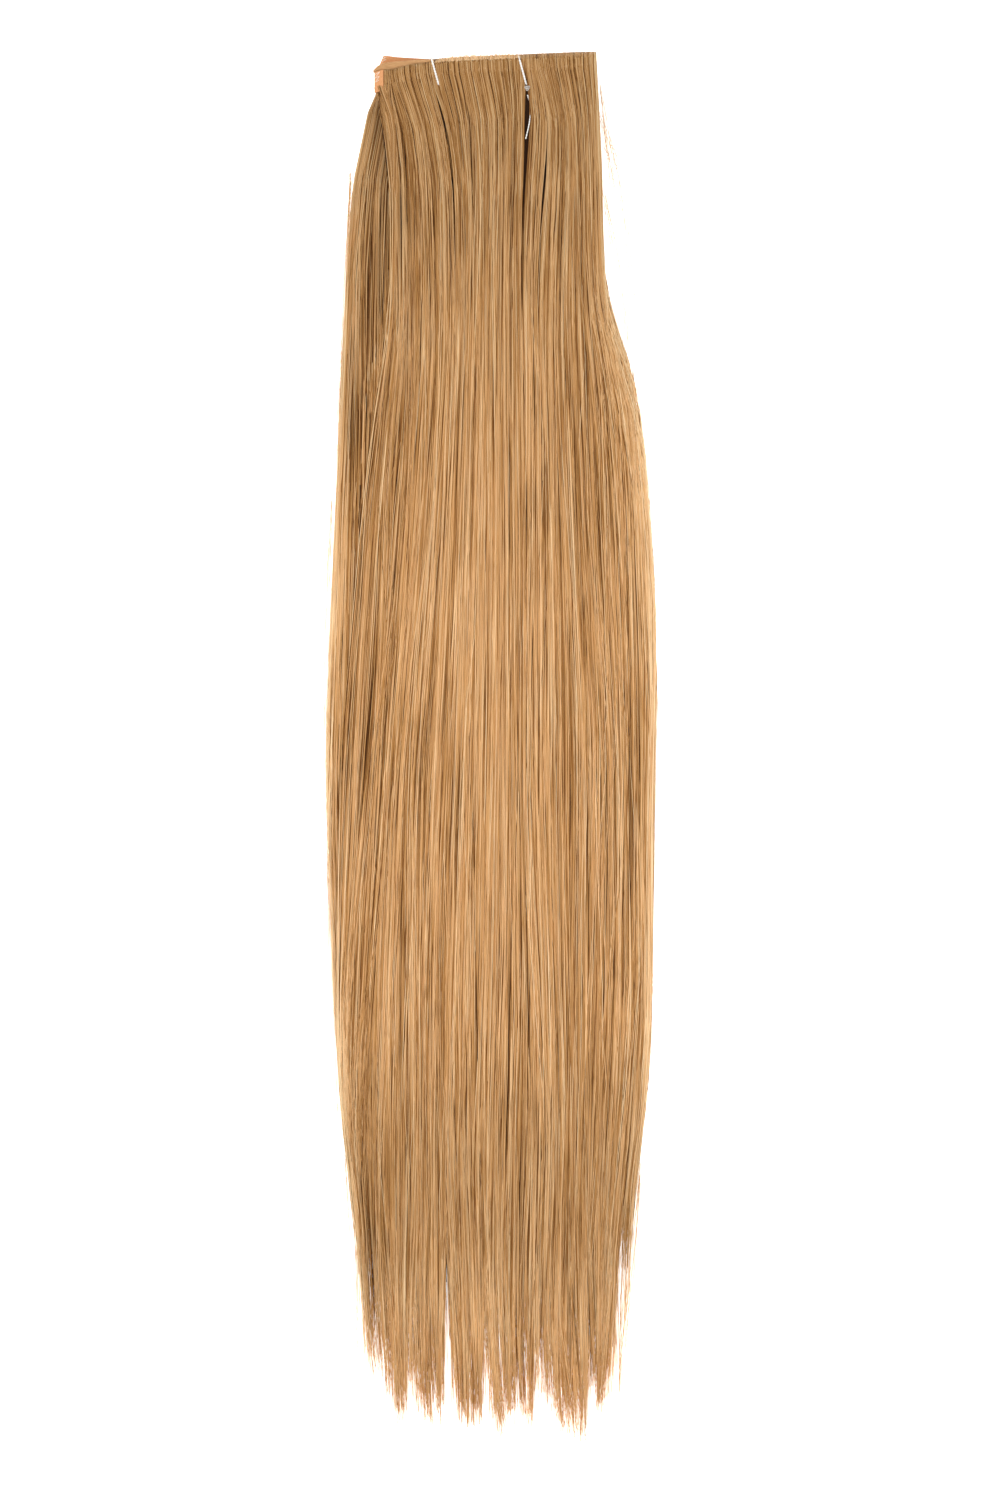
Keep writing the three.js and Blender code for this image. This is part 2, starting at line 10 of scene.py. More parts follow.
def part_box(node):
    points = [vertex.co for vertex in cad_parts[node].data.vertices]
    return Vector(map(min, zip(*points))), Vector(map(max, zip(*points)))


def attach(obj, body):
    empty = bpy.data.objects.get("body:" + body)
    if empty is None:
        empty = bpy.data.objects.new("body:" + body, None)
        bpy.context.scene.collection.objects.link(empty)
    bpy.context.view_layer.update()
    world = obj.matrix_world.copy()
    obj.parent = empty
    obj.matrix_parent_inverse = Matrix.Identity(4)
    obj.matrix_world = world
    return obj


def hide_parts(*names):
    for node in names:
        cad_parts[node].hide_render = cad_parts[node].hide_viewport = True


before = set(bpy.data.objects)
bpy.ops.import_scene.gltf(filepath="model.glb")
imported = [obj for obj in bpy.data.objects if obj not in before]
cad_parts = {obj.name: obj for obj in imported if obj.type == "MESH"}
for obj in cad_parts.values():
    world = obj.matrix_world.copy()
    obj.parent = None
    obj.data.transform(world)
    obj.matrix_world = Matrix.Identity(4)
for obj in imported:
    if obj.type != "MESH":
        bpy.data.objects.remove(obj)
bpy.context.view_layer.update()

MM = 0.001
PHOTO_WIDTH = 1000
PHOTO_HEIGHT = 1500
PIXEL = 0.44 * MM  # one pixel of the photo on the table
MIDDLE_COLUMN = 488  # the photo's column over the frame's origin
TOP_ROW = 55.5  # the photo's row over the weft's top edge

ribbon_low, ribbon_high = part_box("weft_ribbon")
TOP = ribbon_high.y
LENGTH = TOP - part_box("front_hair")[0].y
WIDTH = 146 * MM  # how wide the loose hair spreads, which sets the scale across it
rng = np.random.default_rng(24)


def at_column(column):
    """x over a column of the photo."""
    return (np.asarray(column, float) - MIDDLE_COLUMN) * PIXEL


def down_to(row):
    """The distance from the weft's top edge down to a row of the photo."""
    return (np.asarray(row, float) - TOP_ROW) * PIXEL


def smooth_step(value, start, end):
    t = np.clip((value - start) / (end - start), 0, 1)
    return t * t * (3 - 2 * t)


# Materials


def linear(red, green, blue):
    """A colour given as screen values from 0 to 255, as Blender's nodes take it."""
    shares = [value / 255 for value in (red, green, blue)]
    return (*(((share + 0.055) / 1.055) ** 2.4 for share in shares), 1.0)


def new_material(name, roughness, specular=0.3):
    material = bpy.data.materials.new(name)
    material.use_nodes = True
    shader = material.node_tree.nodes["Principled BSDF"]
    shader.inputs["Roughness"].default_value = roughness
    shader.inputs["Specular IOR Level"].default_value = specular
    return material, material.node_tree, shader


def ramp(tree, factor, stops):
    """A colour ramp fed by factor, through stops of (place, colour)."""
    stops = list(stops)
    node = tree.nodes.new("ShaderNodeValToRGB")
    elements = node.color_ramp.elements
    while len(elements) < len(stops):
        elements.new(1.0)
    for element, (place, colour) in zip(elements, stops):
        element.position = place
        element.color = colour
    tree.links.new(factor, node.inputs["Fac"])
    return node.outputs["Color"]


def math_node(tree, operation, a, b):
    node = tree.nodes.new("ShaderNodeMath")
    node.operation = operation
    for socket, value in zip(node.inputs, (a, b)):
        if isinstance(value, (int, float)):
            socket.default_value = value
        else:
            tree.links.new(value, socket)
    return node.outputs["Value"]


def multiply(tree, a, b):
    """The product of two colours."""
    mix = tree.nodes.new("ShaderNodeMix")
    mix.data_type = "RGBA"
    mix.blend_type = "MULTIPLY"
    mix.inputs["Factor"].default_value = 1.0
    colours = [socket for socket in mix.inputs if socket.type == "RGBA"]
    tree.links.new(a, colours[0])
    tree.links.new(b, colours[1])
    return next(socket for socket in mix.outputs if socket.type == "RGBA")


def attribute(tree, name):
    node = tree.nodes.new("ShaderNodeAttribute")
    node.attribute_name = name
    return node.outputs["Fac"]


def stretched_noise(tree, scale, detail=2.0):
    """Noise over the object's own coordinates, with a scale of its own along each axis."""
    place = tree.nodes.new("ShaderNodeTexCoord")
    mapping = tree.nodes.new("ShaderNodeMapping")
    mapping.inputs["Scale"].default_value = scale
    noise = tree.nodes.new("ShaderNodeTexNoise")
    noise.inputs["Scale"].default_value = 1.0
    noise.inputs["Detail"].default_value = detail
    tree.links.new(place.outputs["Object"], mapping.inputs["Vector"])
    tree.links.new(mapping.outputs["Vector"], noise.inputs["Vector"])
    return noise.outputs["Fac"]


def add_bump(tree, shader, height, distance):
    bump = tree.nodes.new("ShaderNodeBump")
    bump.inputs["Distance"].default_value = distance
    tree.links.new(height, bump.inputs["Height"])
    tree.links.new(bump.outputs["Normal"], shader.inputs["Normal"])


HAIR_TONES = [
    (0.0, linear(44, 24, 9)),
    (0.14, linear(86, 50, 18)),
    (0.3, linear(140, 91, 43)),
    (0.48, linear(187, 137, 80)),
    (0.68, linear(222, 173, 119)),
    (1.0, linear(250, 218, 172)),
]
# How light the hair is at places along its length, partly painted light: a painted sheen brightest at
# mid-length, and darker towards the weft and lower down
LENGTH_SHADE = [
    (0.0, 0.67),
    (0.03, 0.65),
    (0.07, 0.72),
    (0.14, 0.81),
    (0.3, 0.95),
    (0.45, 1.0),
    (0.7, 1.0),
    (0.8, 0.86),
    (0.88, 0.93),
]
# Light shines through the thin ends, which gives them more colour
TIP_SHADE = (0.95, (1.02, 0.92, 0.78, 1.0))
SHADE_POWERS = (1.0, 1.06, 1.25)  # darker hair is also a little redder
# Noise that runs with the strands: features for each metre across them and for each length along them
STREAK = {"across": 1500.0, "along": 8.0, "depth": 0.5}
# LINES paints thin dark lines along the strands: painted shade of the gaps between them
LINES = {"across": 2300.0, "along": 5.0, "depth": 0.32}
LINE_STOPS = [(0.36, (1.0, 1.0, 1.0, 1.0)), (0.46, (0.0, 0.0, 0.0, 1.0))]


def strand_noise(tree, across, along):
    """Noise in the strands' own coordinates, so that it runs along them."""
    place = tree.nodes.new("ShaderNodeCombineXYZ")
    tree.links.new(math_node(tree, "MULTIPLY", attribute(tree, "across"), across), place.inputs["X"])
    tree.links.new(math_node(tree, "MULTIPLY", attribute(tree, "along"), along), place.inputs["Y"])
    noise = tree.nodes.new("ShaderNodeTexNoise")
    noise.inputs["Scale"].default_value = 1.0
    tree.links.new(place.outputs["Vector"], noise.inputs["Vector"])
    return noise.outputs["Fac"]


def shade_colour(share):
    return (*(share**power for power in SHADE_POWERS), 1.0)


def hair_material():
    material, tree, shader = new_material("hair", roughness=0.55, specular=0.1)
    streak = math_node(tree, "SUBTRACT", strand_noise(tree, STREAK["across"], STREAK["along"]), 0.5)
    streak = math_node(tree, "MULTIPLY", streak, STREAK["depth"])
    tone = math_node(tree, "ADD", attribute(tree, "tone"), streak)
    # Thin dark lines: painted shade of the gaps between the strands
    line = ramp(tree, strand_noise(tree, LINES["across"], LINES["along"]), LINE_STOPS)
    line = math_node(tree, "MULTIPLY", line, LINES["depth"])
    tone = math_node(tree, "SUBTRACT", tone, line)
    shades = [(place, shade_colour(share)) for place, share in LENGTH_SHADE]
    shades.append(TIP_SHADE)
    shade = ramp(tree, attribute(tree, "along"), shades)
    tree.links.new(multiply(tree, ramp(tree, tone, HAIR_TONES), shade), shader.inputs["Base Color"])
    return material


CLOTH_STOPS = (0.3, 0.7)  # where its noise turns from the cloth's dark colour to its light one
CLOTH_RELIEF = 0.1 * MM
LACQUER_STOPS = (0.35, 0.65)
LACQUER_RELIEF = 0.04 * MM
# How fine each noise is: features for each metre along x, y and z
LACQUER_GRAIN = (900.0, 900.0, 900.0)
RIBBON_WEAVE = (5200.0, 900.0, 5200.0)
BINDING_WEAVE = (500.0, 2600.0, 2600.0)
TRACK_WEAVE = (3000.0, 500.0, 3000.0)
THREAD_GRAIN = (2600.0, 2600.0, 2600.0)
KNOT_GRAIN = (1500.0, 1500.0, 1500.0)


def cloth_material(name, dark, light, scale, roughness=0.75):
    material, tree, shader = new_material(name, roughness, specular=0.2)
    noise = stretched_noise(tree, scale, detail=4.0)
    colour = ramp(tree, noise, zip(CLOTH_STOPS, (dark, light)))
    tree.links.new(colour, shader.inputs["Base Color"])
    add_bump(tree, shader, noise, CLOTH_RELIEF)
    return material


def clip_material():
    material, tree, shader = new_material("clip", roughness=0.35, specular=0.5)
    shader.inputs["Metallic"].default_value = 0.6
    noise = stretched_noise(tree, LACQUER_GRAIN, detail=5.0)
    lacquer = ramp(tree, noise, zip(LACQUER_STOPS, (linear(112, 82, 52), linear(146, 112, 76))))
    tree.links.new(lacquer, shader.inputs["Base Color"])
    add_bump(tree, shader, noise, LACQUER_RELIEF)
    return material


HAIR = hair_material()
RIBBON = cloth_material("ribbon", linear(194, 131, 84), linear(212, 155, 108), RIBBON_WEAVE)
BINDING = cloth_material("binding", linear(166, 122, 78), linear(192, 148, 102), BINDING_WEAVE)
TRACK = cloth_material("track", linear(128, 88, 48), linear(186, 138, 88), TRACK_WEAVE)
THREAD = cloth_material("thread", linear(226, 222, 214), linear(252, 251, 248), THREAD_GRAIN, 0.5)
STITCH = cloth_material("stitch", linear(214, 182, 156), linear(240, 216, 194), THREAD_GRAIN, 0.6)
# The knot is greyer than the thread: partly painted shade, partly the dark hair that shows through its loops
KNOT = cloth_material("knot", linear(120, 108, 98), linear(214, 208, 200), KNOT_GRAIN, 0.6)
CLIP = clip_material()


# Curtains of hair as the CAD nodes have them

ROWS = 140
COLUMNS = 56
ROW_POWER = 1.6  # rows lie closer together near the weft
FAR = 1.0  # how far a ray looks
OUTSIDE = 0.1  # how far above, below or behind the part a ray starts
BESIDE = 0.3  # and how far beside its middle
TIPS_FROM = down_to(1240)  # below this the strands hang straight and gather in tufts
HEM_INSET = 4.5 * MM  # from the ribbon's open end to the hair
SIDE_INSET = 0.012  # how far in from the edges the outermost heights are read, as a share of the width


def node_tree(node):
    """What rays can hit of a node."""
    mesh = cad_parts[node].data
    points = [vertex.co.copy() for vertex in mesh.vertices]
    return BVHTree.FromPolygons(points, [tuple(face.vertices) for face in mesh.polygons])


def hit(tree, start, direction):
    """Where a ray meets a node, or None."""
    return tree.ray_cast(Vector(start), Vector(direction), FAR)[0]


def smoothed(values, sigma, axis):
    """Values after a Gaussian blur of sigma steps along an axis, with the ends held."""
    reach = int(3 * sigma) + 1
    weights = np.exp(-0.5 * (np.arange(-reach, reach + 1) / sigma) ** 2)
    weights /= weights.sum()
    padding = [(0, 0)] * values.ndim
    padding[axis] = (reach, reach)
    padded = np.pad(values, padding, mode="edge")
    return np.apply_along_axis(np.convolve, axis, padded, weights, mode="valid")


def filled(values):
    """A list of numbers with its gaps filled from the neighbours."""
    known = np.flatnonzero(~np.isnan(values))
    return np.interp(np.arange(len(values)), known, values[known])


class Curtain:
    """The form of one curtain, read from its node.

    A place on it is u, from left (0) to right (1), and the distance down.
    """

    SAG_END = 0.175  # share of the length where the droop of the weft's edge is taken up

    def __init__(self, node):
        self.tree = node_tree(node)
        self.node = node
        self.low, self.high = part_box(node)
        self.down = LENGTH * np.linspace(0.0, 1.0, ROWS) ** ROW_POWER
        self.across = np.linspace(0.0, 1.0, COLUMNS)
        self.sags = self.read_sags()
        self.left = self.read_edge(1)
        self.right = self.read_edge(-1)
        self.top, self.bottom = self.read_heights()

    def read_sags(self):
        """How far the top edge hangs below the weft's highest line, at each u."""
        levels = np.arange(self.low.z, self.high.z, 0.4 * MM)
        left = ribbon_low.x + HEM_INSET
        found = []
        for u in self.across:
            x = left + (ribbon_high.x - left) * u
            hits = [hit(self.tree, (x, TOP + OUTSIDE, z), (0, -1, 0)) for z in levels]
            ys = [place.y for place in hits if place is not None]
            found.append(TOP - max(ys) if ys else np.nan)
        return smoothed(filled(np.array(found)), 1.5, 0)

    def y_at(self, u, down):
        sag = np.interp(u, self.across, self.sags)
        return TOP - down - sag * np.clip(1 - down / (self.SAG_END * LENGTH), 0, 1)

    def read_edge(self, side):
        """x of the left edge (side 1) or the right one (side -1) at each distance down."""
        levels = np.arange(0.3 * MM, self.high.z, 0.5 * MM)
        found = np.full(ROWS, np.nan)
        for row in np.flatnonzero((self.down > 0.5 * MM) & (self.down < TIPS_FROM)):
            y = float(self.y_at(0.0 if side > 0 else 1.0, self.down[row]))
            hits = [hit(self.tree, (-side * BESIDE, y, z), (side, 0, 0)) for z in levels]
            xs = [place.x for place in hits if place is not None]
            if xs:
                found[row] = min(xs) if side > 0 else max(xs)
        return smoothed(filled(found), 1.5, 0)

    def x_at(self, u, down):
        left = np.interp(down, self.down, self.left)
        right = np.interp(down, self.down, self.right)
        return left + (right - left) * u

    def place_of(self, x, down):
        """u of a point, from its x and the distance down."""
        left, right = self.x_at(0.0, down), self.x_at(1.0, down)
        return np.clip((x - left) / (right - left), 0, 1)

    def read_heights(self):
        top = np.full((ROWS, COLUMNS), np.nan)
        bottom = np.full((ROWS, COLUMNS), np.nan)
        for row in range(1, ROWS):
            for column, u in enumerate(SIDE_INSET + (1 - 2 * SIDE_INSET) * self.across):
                x = float(self.x_at(u, self.down[row]))
                y = float(self.y_at(u, self.down[row]))
                over = hit(self.tree, (x, y, OUTSIDE), (0, 0, -1))
                if over is not None:
                    top[row, column] = over.z
                    bottom[row, column] = hit(self.tree, (x, y, -OUTSIDE), (0, 0, 1)).z
        for column in range(COLUMNS):
            top[:, column] = filled(top[:, column])
            bottom[:, column] = filled(bottom[:, column])
        return tuple(smoothed(smoothed(grid, 1.0, 0), 1.0, 1) for grid in (top, bottom))

    def height_at(self, grid, u, down):
        """The grid's value between its points."""
        row = np.clip(down / LENGTH, 0, 1) ** (1 / ROW_POWER) * (ROWS - 1)
        column = np.clip(u, 0, 1) * (COLUMNS - 1)
        r = np.minimum(row.astype(int), ROWS - 2)
        c = np.minimum(column.astype(int), COLUMNS - 2)
        across = column - c
        upper = grid[r, c] * (1 - across) + grid[r, c + 1] * across
        lower = grid[r + 1, c] * (1 - across) + grid[r + 1, c + 1] * across
        return upper + (lower - upper) * (row - r)

    def z_at(self, u, down, share):
        """Height at a share of the way from the underside (0) to the top (1)."""
        bottom = self.height_at(self.bottom, u, down)
        return bottom + (self.height_at(self.top, u, down) - bottom) * share


FRONT = Curtain("front_hair")
BACK = Curtain("back_hair")


# How the strands run


class Waves:
    """A smooth random field over the hair, as a sum of slanting waves.

    across and along are ranges of wavelengths.
    """

    def __init__(self, count, across, along):
        self.k = 2 * math.pi / np.exp(rng.uniform(*np.log(across), count))
        self.m = 2 * math.pi / np.exp(rng.uniform(*np.log(along), count)) * rng.choice([-1, 1], count)
        self.phase = rng.uniform(0, 2 * math.pi, count)

    def total(self, weights, s, down):
        value = np.zeros(np.broadcast(s, down).shape)
        for k, m, phase, weight in zip(self.k, self.m, self.phase, weights):
            value += weight * np.sin(k * s + m * down + phase)
        return value

    def level(self, s, down):
        """The field with a spread of about 1."""
        return self.total(np.full(len(self.k), math.sqrt(2 / len(self.k))), s, down)

    def drift(self, s, down, strength):
        """Sideways drift in metres, which squeezes and spreads the strands by about strength."""
        return self.total(strength * math.sqrt(2 / len(self.k)) / self.k, s, down)


# The tufts at the tips, from left to right, in the photo's columns and rows. right: where the tuft ends
# above the gaps. opens: where the gap on its right starts. low_left, low_right: its edges on LOW_ROW. end:
# its lowest row. thin: the share of its strands that end early.
TUFTS = [
    {"right": 366, "opens": 1335, "low_left": 371, "low_right": 374, "end": 1394, "thin": 0.5},
    {"right": 376, "opens": 1225, "low_left": 377, "low_right": 382, "end": 1408, "thin": 0.4},
    {"right": 407, "opens": 1310, "low_left": 392, "low_right": 408, "end": 1426, "thin": 0.0},
    {"right": 444, "opens": 1215, "low_left": 417, "low_right": 442, "end": 1434, "thin": 0.0},
    {"right": 484, "opens": 1320, "low_left": 456, "low_right": 483, "end": 1438, "thin": 0.0},
    {"right": 517, "opens": 1345, "low_left": 495, "low_right": 515, "end": 1441, "thin": 0.0},
    {"right": 537, "opens": 1335, "low_left": 522, "low_right": 534, "end": 1430, "thin": 0.0},
    {"right": 546, "opens": 1345, "low_left": 544, "low_right": 549, "end": 1436, "thin": 0.0},
    {"right": 556, "opens": 1345, "low_left": 555, "low_right": 561, "end": 1441, "thin": 0.0},
    {"right": 588, "opens": 1355, "low_left": 566, "low_right": 586, "end": 1441, "thin": 0.0},
    {"right": 620, "opens": 1225, "low_left": 592, "low_right": 605, "end": 1416, "thin": 0.0},
    {"right": 631, "opens": 1225, "low_left": 623, "low_right": 629, "end": 1398, "thin": 0.93},
]
LOW_ROW = 1400
FIRST_LEFT = 349  # the first tuft's left edge above the gaps
FIRST_OPENS = 1180  # where that edge starts to draw in
THIN_END = 1275  # the row by which the strands of a thin tuft end, but for a few
# How far above its tuft's lowest row a strand ends, in rows, for each share of the strands
FALLS = [
    (0.0, 0),
    (0.045, 8),
    (0.1, 20),
    (0.18, 36),
    (0.275, 54),
    (0.385, 74),
    (0.52, 96),
    (0.71, 125),
    (1.0, 190),
]
LOOSE = 0.28  # share of the strands that fall past the tufts' gaps
LOOSE_HOLD = 0.8  # how firmly these keep to their tuft at most
LOOSE_FALL = 0.8  # and how much of the fall above they take
HOLD_SPREAD = 0.25  # how unevenly the others keep to their tuft
HOLD_LIMITS = (0.4, 1.4)
SPLAY = 1.6 * PIXEL  # how far a loose tip strays sideways by LOW_ROW
HELD_SPLAY = 0.25  # and the other ones, as a share of that
# The tufts end in wisps: their number and columns, how far strands are drawn to their wisp, the rows over
# which that grows, and by how many rows wisps end early
WISP_COUNT = 76
WISP_COLUMNS = (345, 635)
WISP_PULL = 0.9
WISP_ROWS = (1270, 1385)
WISP_EARLY = (-8, 34)
WISPS = np.sort(at_column(rng.uniform(*WISP_COLUMNS, WISP_COUNT)))
WISP_FALLS = rng.uniform(*WISP_EARLY, WISP_COUNT)

# Lines that the upper curtain's strands follow below the weft: each one's columns and the half width of its
# parting on GUIDE_ROWS, in the photo's pixels
GUIDE_ROWS = (62, 82, 96, 115, 140, 180, 240, 330)
GUIDES = [
    {"columns": (391, 396, 402, 409, 414, 417, 418, 417), "halves": (0, 0, 0, 0, 0, 0, 0, 0)},
    {"columns": (430, 433, 438, 444, 449, 453, 455, 456), "halves": (0, 0, 1.3, 1.6, 1.2, 0.9, 0.4, 0)},
    {"columns": (459, 463, 467, 470, 471, 472, 473, 473), "halves": (0, 0, 0, 0.9, 1.0, 0.5, 0, 0)},
    {"columns": (486, 490, 494, 498, 500, 500, 499, 498), "halves": (0, 0, 0, 0, 0, 0, 0, 0)},
    {"columns": (524, 527, 527, 528, 527, 524, 521, 521), "halves": (0, 0.4, 2.8, 3.2, 2.5, 1.2, 0.2, 0)},
    {"columns": (536, 541, 546, 549, 548, 544, 538, 536), "halves": (0, 0, 0, 0.5, 0.9, 1.0, 0.4, 0)},
    {"columns": (564, 568, 572, 575, 577, 578, 578, 583), "halves": (0, 0, 0, 0, 0, 0, 0, 0)},
]
SMOOTH_ROWS = np.arange(GUIDE_ROWS[0], GUIDE_ROWS[-1] + 1, 4)
GUIDE_BLUR = 3.0  # how many of those steps the guides' corners are smoothed over
for guide in GUIDES:
    guide["line"] = smoothed(np.interp(SMOOTH_ROWS, GUIDE_ROWS, guide["columns"]), GUIDE_BLUR, 0)
# How far the strands at each edge stand right of the curtains' outline, in pixels, on EDGE_ROWS
EDGE_ROWS = (62, 90, 130, 170, 230, 260, 290, 320, 342, 360, 400, 500, 600, 740, 850, 1000, 1100, 1200)
EDGE_TRIMS = {
    "left": (0, 0, 0, 0, 0, 0, 0, 0, 1, 1, 0, 0, 2, -1, 4, 1, 1, 4),
    "right": (0, -1, -2, -1, -1, -2, -3, -7, -6, 3, 3, 2, 6, 3, 0, 3, 4, 0),
}
# How far left of that the lower curtain's right edge is tucked in below the upper one's, on TUCK_ROWS
TUCK_ROWS = (62, 90, 240, 330)
TUCKS = (2, 5, 5, 0)
EDGE_TRIM_REACH = 0.12  # share of the width over which an edge's trim fades away


def trimmed(curtain, x, u, down):
    """x after the trims of both edges."""
    for side, distance in (("left", u), ("right", 1 - u)):
        trim = np.interp(down, down_to(EDGE_ROWS), np.array(EDGE_TRIMS[side]) * PIXEL)
        if curtain is BACK and side == "right":
            trim = trim - np.interp(down, down_to(TUCK_ROWS), np.array(TUCKS) * PIXEL)
        x = x + trim * np.exp(-np.clip(distance, 0, 1) / EDGE_TRIM_REACH)
    return x


GUIDES_FADE = 1240  # the row by which the strands are free of the guides
# How much the guides' places at the weft count in the strands' spacing, against those on the last row
TOP_SHARE = 0.5
# How far right of its left edge the upper curtain's strands run, in pixels, on JOIN_ROWS
JOIN_ROWS = (225, 300, 360, 430, 600, 740, 850, 1000, 1120)
JOIN_LAGS = (0, 7, 18, 28, 29, 26, 18, 8, 0)
PARTING_PUSH = 3.0 * MM  # how far off the strands are still pushed aside by a parting


def freedom(down):
    """How far the strands are free of the guides, from 0 to 1."""
    first, last = down_to(GUIDE_ROWS[-1]), down_to(GUIDES_FADE)
    return np.clip((down - first) / (last - first), 0, 1)


def full_lag(down):
    """How far right of its left edge the upper curtain's strands run while they follow the guides."""
    return np.interp(down, down_to(JOIN_ROWS), np.array(JOIN_LAGS) * PIXEL)


def guide_lines(down):
    """x of the upper curtain's first strands, of each guide and of its right edge."""
    inner = [np.interp(down, down_to(SMOOTH_ROWS), at_column(guide["line"])) for guide in GUIDES]
    first = FRONT.x_at(0.0, down) + full_lag(down)
    return np.stack([first, *inner, FRONT.x_at(1.0, down)])


def guide_homes():
    """Where the guides stand across the curtain, from 0 to 1."""
    homes = []
    for row in (GUIDE_ROWS[0], GUIDE_ROWS[-1]):
        lines = guide_lines(down_to(row))
        homes.append((lines - lines[0]) / (lines[-1] - lines[0]))
    return TOP_SHARE * homes[0] + (1 - TOP_SHARE) * homes[1]


GUIDE_HOMES = guide_homes()


def front_x(u, down, home):
    """x of a place on the upper curtain, led by the guides at the top and by the outline further down.

    home says on which side of each parting a strand stays.
    """
    lines = guide_lines(down)
    k = np.clip(np.searchsorted(GUIDE_HOMES, u) - 1, 0, len(lines) - 2)
    share = (u - GUIDE_HOMES[k]) / (GUIDE_HOMES[k + 1] - GUIDE_HOMES[k])
    left = np.take_along_axis(lines, k[None], 0)[0]
    right = np.take_along_axis(lines, k[None] + 1, 0)[0]
    x = left + (right - left) * share
    for guide, place, line in zip(GUIDES, GUIDE_HOMES[1:], lines[1:]):
        half = np.interp(down, down_to(GUIDE_ROWS), np.array(guide["halves"]) * PIXEL)
        side = np.where(home < place, -1.0, 1.0)[:, None]
        x = x + side * half * np.exp(-np.abs(x - line) / PARTING_PUSH)
        clear = line + side * half
        x = np.where(half > 0, side * np.maximum(side * x, side * clear), x)
    return x + (FRONT.x_at(u, down) - x) * freedom(down)


def tuft_numbers(x):
    return np.minimum(np.searchsorted(at_column([tuft["right"] for tuft in TUFTS]), x), len(TUFTS) - 1)


def tuft_column(key, number):
    return np.array([tuft[key] for tuft in TUFTS], float)[number]


def parted(start, low, down, opens):
    """How far a tuft's edge has moved from start on its way to low, since the row where its gap opens."""
    opens = down_to(opens)[:, None]
    move = (low - start)[:, None] * (down - opens) / (down_to(LOW_ROW) - opens)
    return np.where(down > opens, move, 0)


def tuft_shift(x, down, hold):
    """How far strands that hang at x move sideways as their tufts part.

    hold says how firmly each keeps to its tuft.
    """
    number = tuft_numbers(x)
    before = np.maximum(number - 1, 0)
    left = at_column(np.where(number > 0, tuft_column("right", before), FIRST_LEFT))
    right = at_column(tuft_column("right", number))
    opens_left = np.where(number > 0, tuft_column("opens", before), FIRST_OPENS)
    opens_right = tuft_column("opens", number)
    left_move = parted(left, at_column(tuft_column("low_left", number)), down, opens_left)
    right_move = parted(right, at_column(tuft_column("low_right", number)), down, opens_right)
    share = np.clip((x - left) / (right - left), 0, 1)[:, None]
    return (left_move * (1 - share) + right_move * share) * hold[:, None]


def wisp_numbers(x):
    return np.argmin(np.abs(x[:, None] - WISPS), axis=1)


def wisp_shift(x, down, hold):
    """How far strands that hang at x move sideways to the nearest wisp."""
    pull = WISP_PULL * smooth_step(down, *down_to(WISP_ROWS))
    return (WISPS[wisp_numbers(x)] - x)[:, None] * pull * np.minimum(hold, 1)[:, None]


def tuft_reach(x, loose):
    """How far down strands that hang at x reach. Loose ones reach a little further."""
    shares, rows = zip(*FALLS)
    fall = np.interp(rng.uniform(0, 1, len(x)), shares, rows)
    number = tuft_numbers(x)
    end = tuft_column("end", number)
    early = rng.uniform(0, 1, len(x)) < tuft_column("thin", number)
    end = np.where(early, THIN_END, end)
    return down_to(end - WISP_FALLS[wisp_numbers(x)] - fall * np.where(loose, LOOSE_FALL, 1.0))


FREE_FROM = 8 * MM  # the hair runs straight out of the weft and drifts freely from here on
FREE_FULL = 90 * MM
CALM_EDGE = 6 * MM  # strands this close to an edge keep nearer to it
CALM_DRIFT = 0.15  # the share of the drift that is left on the edge itself
BUNCH_STRENGTH = 0.5  # how much the strands bunch up
SWAY_STRENGTH = 0.12  # how much whole bands of them sway
OWN_WAVES = (0.12, 0.5)  # the wavelengths of each strand's own wander, in metres
RIDGE_HEIGHT = 0.22 * MM
FLOOR_CLEAR = 0.15 * MM  # how far the strands' middle lines stay above the table
STATION_JITTER = 0.39  # how far stations move along the strands, as a share of the gap between them
ROOT_TURN = 3.0 * MM  # how far the roots turn in over the weft's edge
BAND_TURN = 0.2 * MM  # the same where the ribbon's rolled edge hides the roots
BACK_TURN = -1.4 * MM  # the lower curtain's roots turn up
ROOT_RISE = (0.3 * MM, 1.5 * MM)  # how far the roots stand above that edge
BACK_START = 0.9 * MM  # how far below its edge the lower curtain's roots start
ROOT_REACH = 1.8 * MM
UNDER_ROLL = 0.4 * MM  # how far the roots reach under the ribbon's rolled edge
LEAST_START = 0.1 * MM
ROLL_UNEVEN = 0.3 * MM  # how unevenly they come out below it
# The ribbon's rolled edge on the upper half: its upper and lower edge, in the photo's pixels
ROLL = [
    {"column": 373.5, "top": 71.6, "bottom": 74.0},
    {"column": 378, "top": 67.0, "bottom": 73.4},
    {"column": 384, "top": 64.2, "bottom": 72.6},
    {"column": 398, "top": 62.5, "bottom": 71.6},
    {"column": 408, "top": 61.8, "bottom": 69.2},
    {"column": 418, "top": 61.2, "bottom": 66.4},
    {"column": 431, "top": 60.8, "bottom": 63.6},
]
ROLL_COLUMNS = at_column([place["column"] for place in ROLL])
BUNCHES = {curtain: Waves(34, (1.3 * MM, 10 * MM), (90 * MM, 500 * MM)) for curtain in (FRONT, BACK)}
SWAYS = {curtain: Waves(6, (25 * MM, 70 * MM), (250 * MM, 800 * MM)) for curtain in (FRONT, BACK)}
RIDGES = {curtain: Waves(40, (0.9 * MM, 3.6 * MM), (90 * MM, 600 * MM)) for curtain in (FRONT, BACK)}


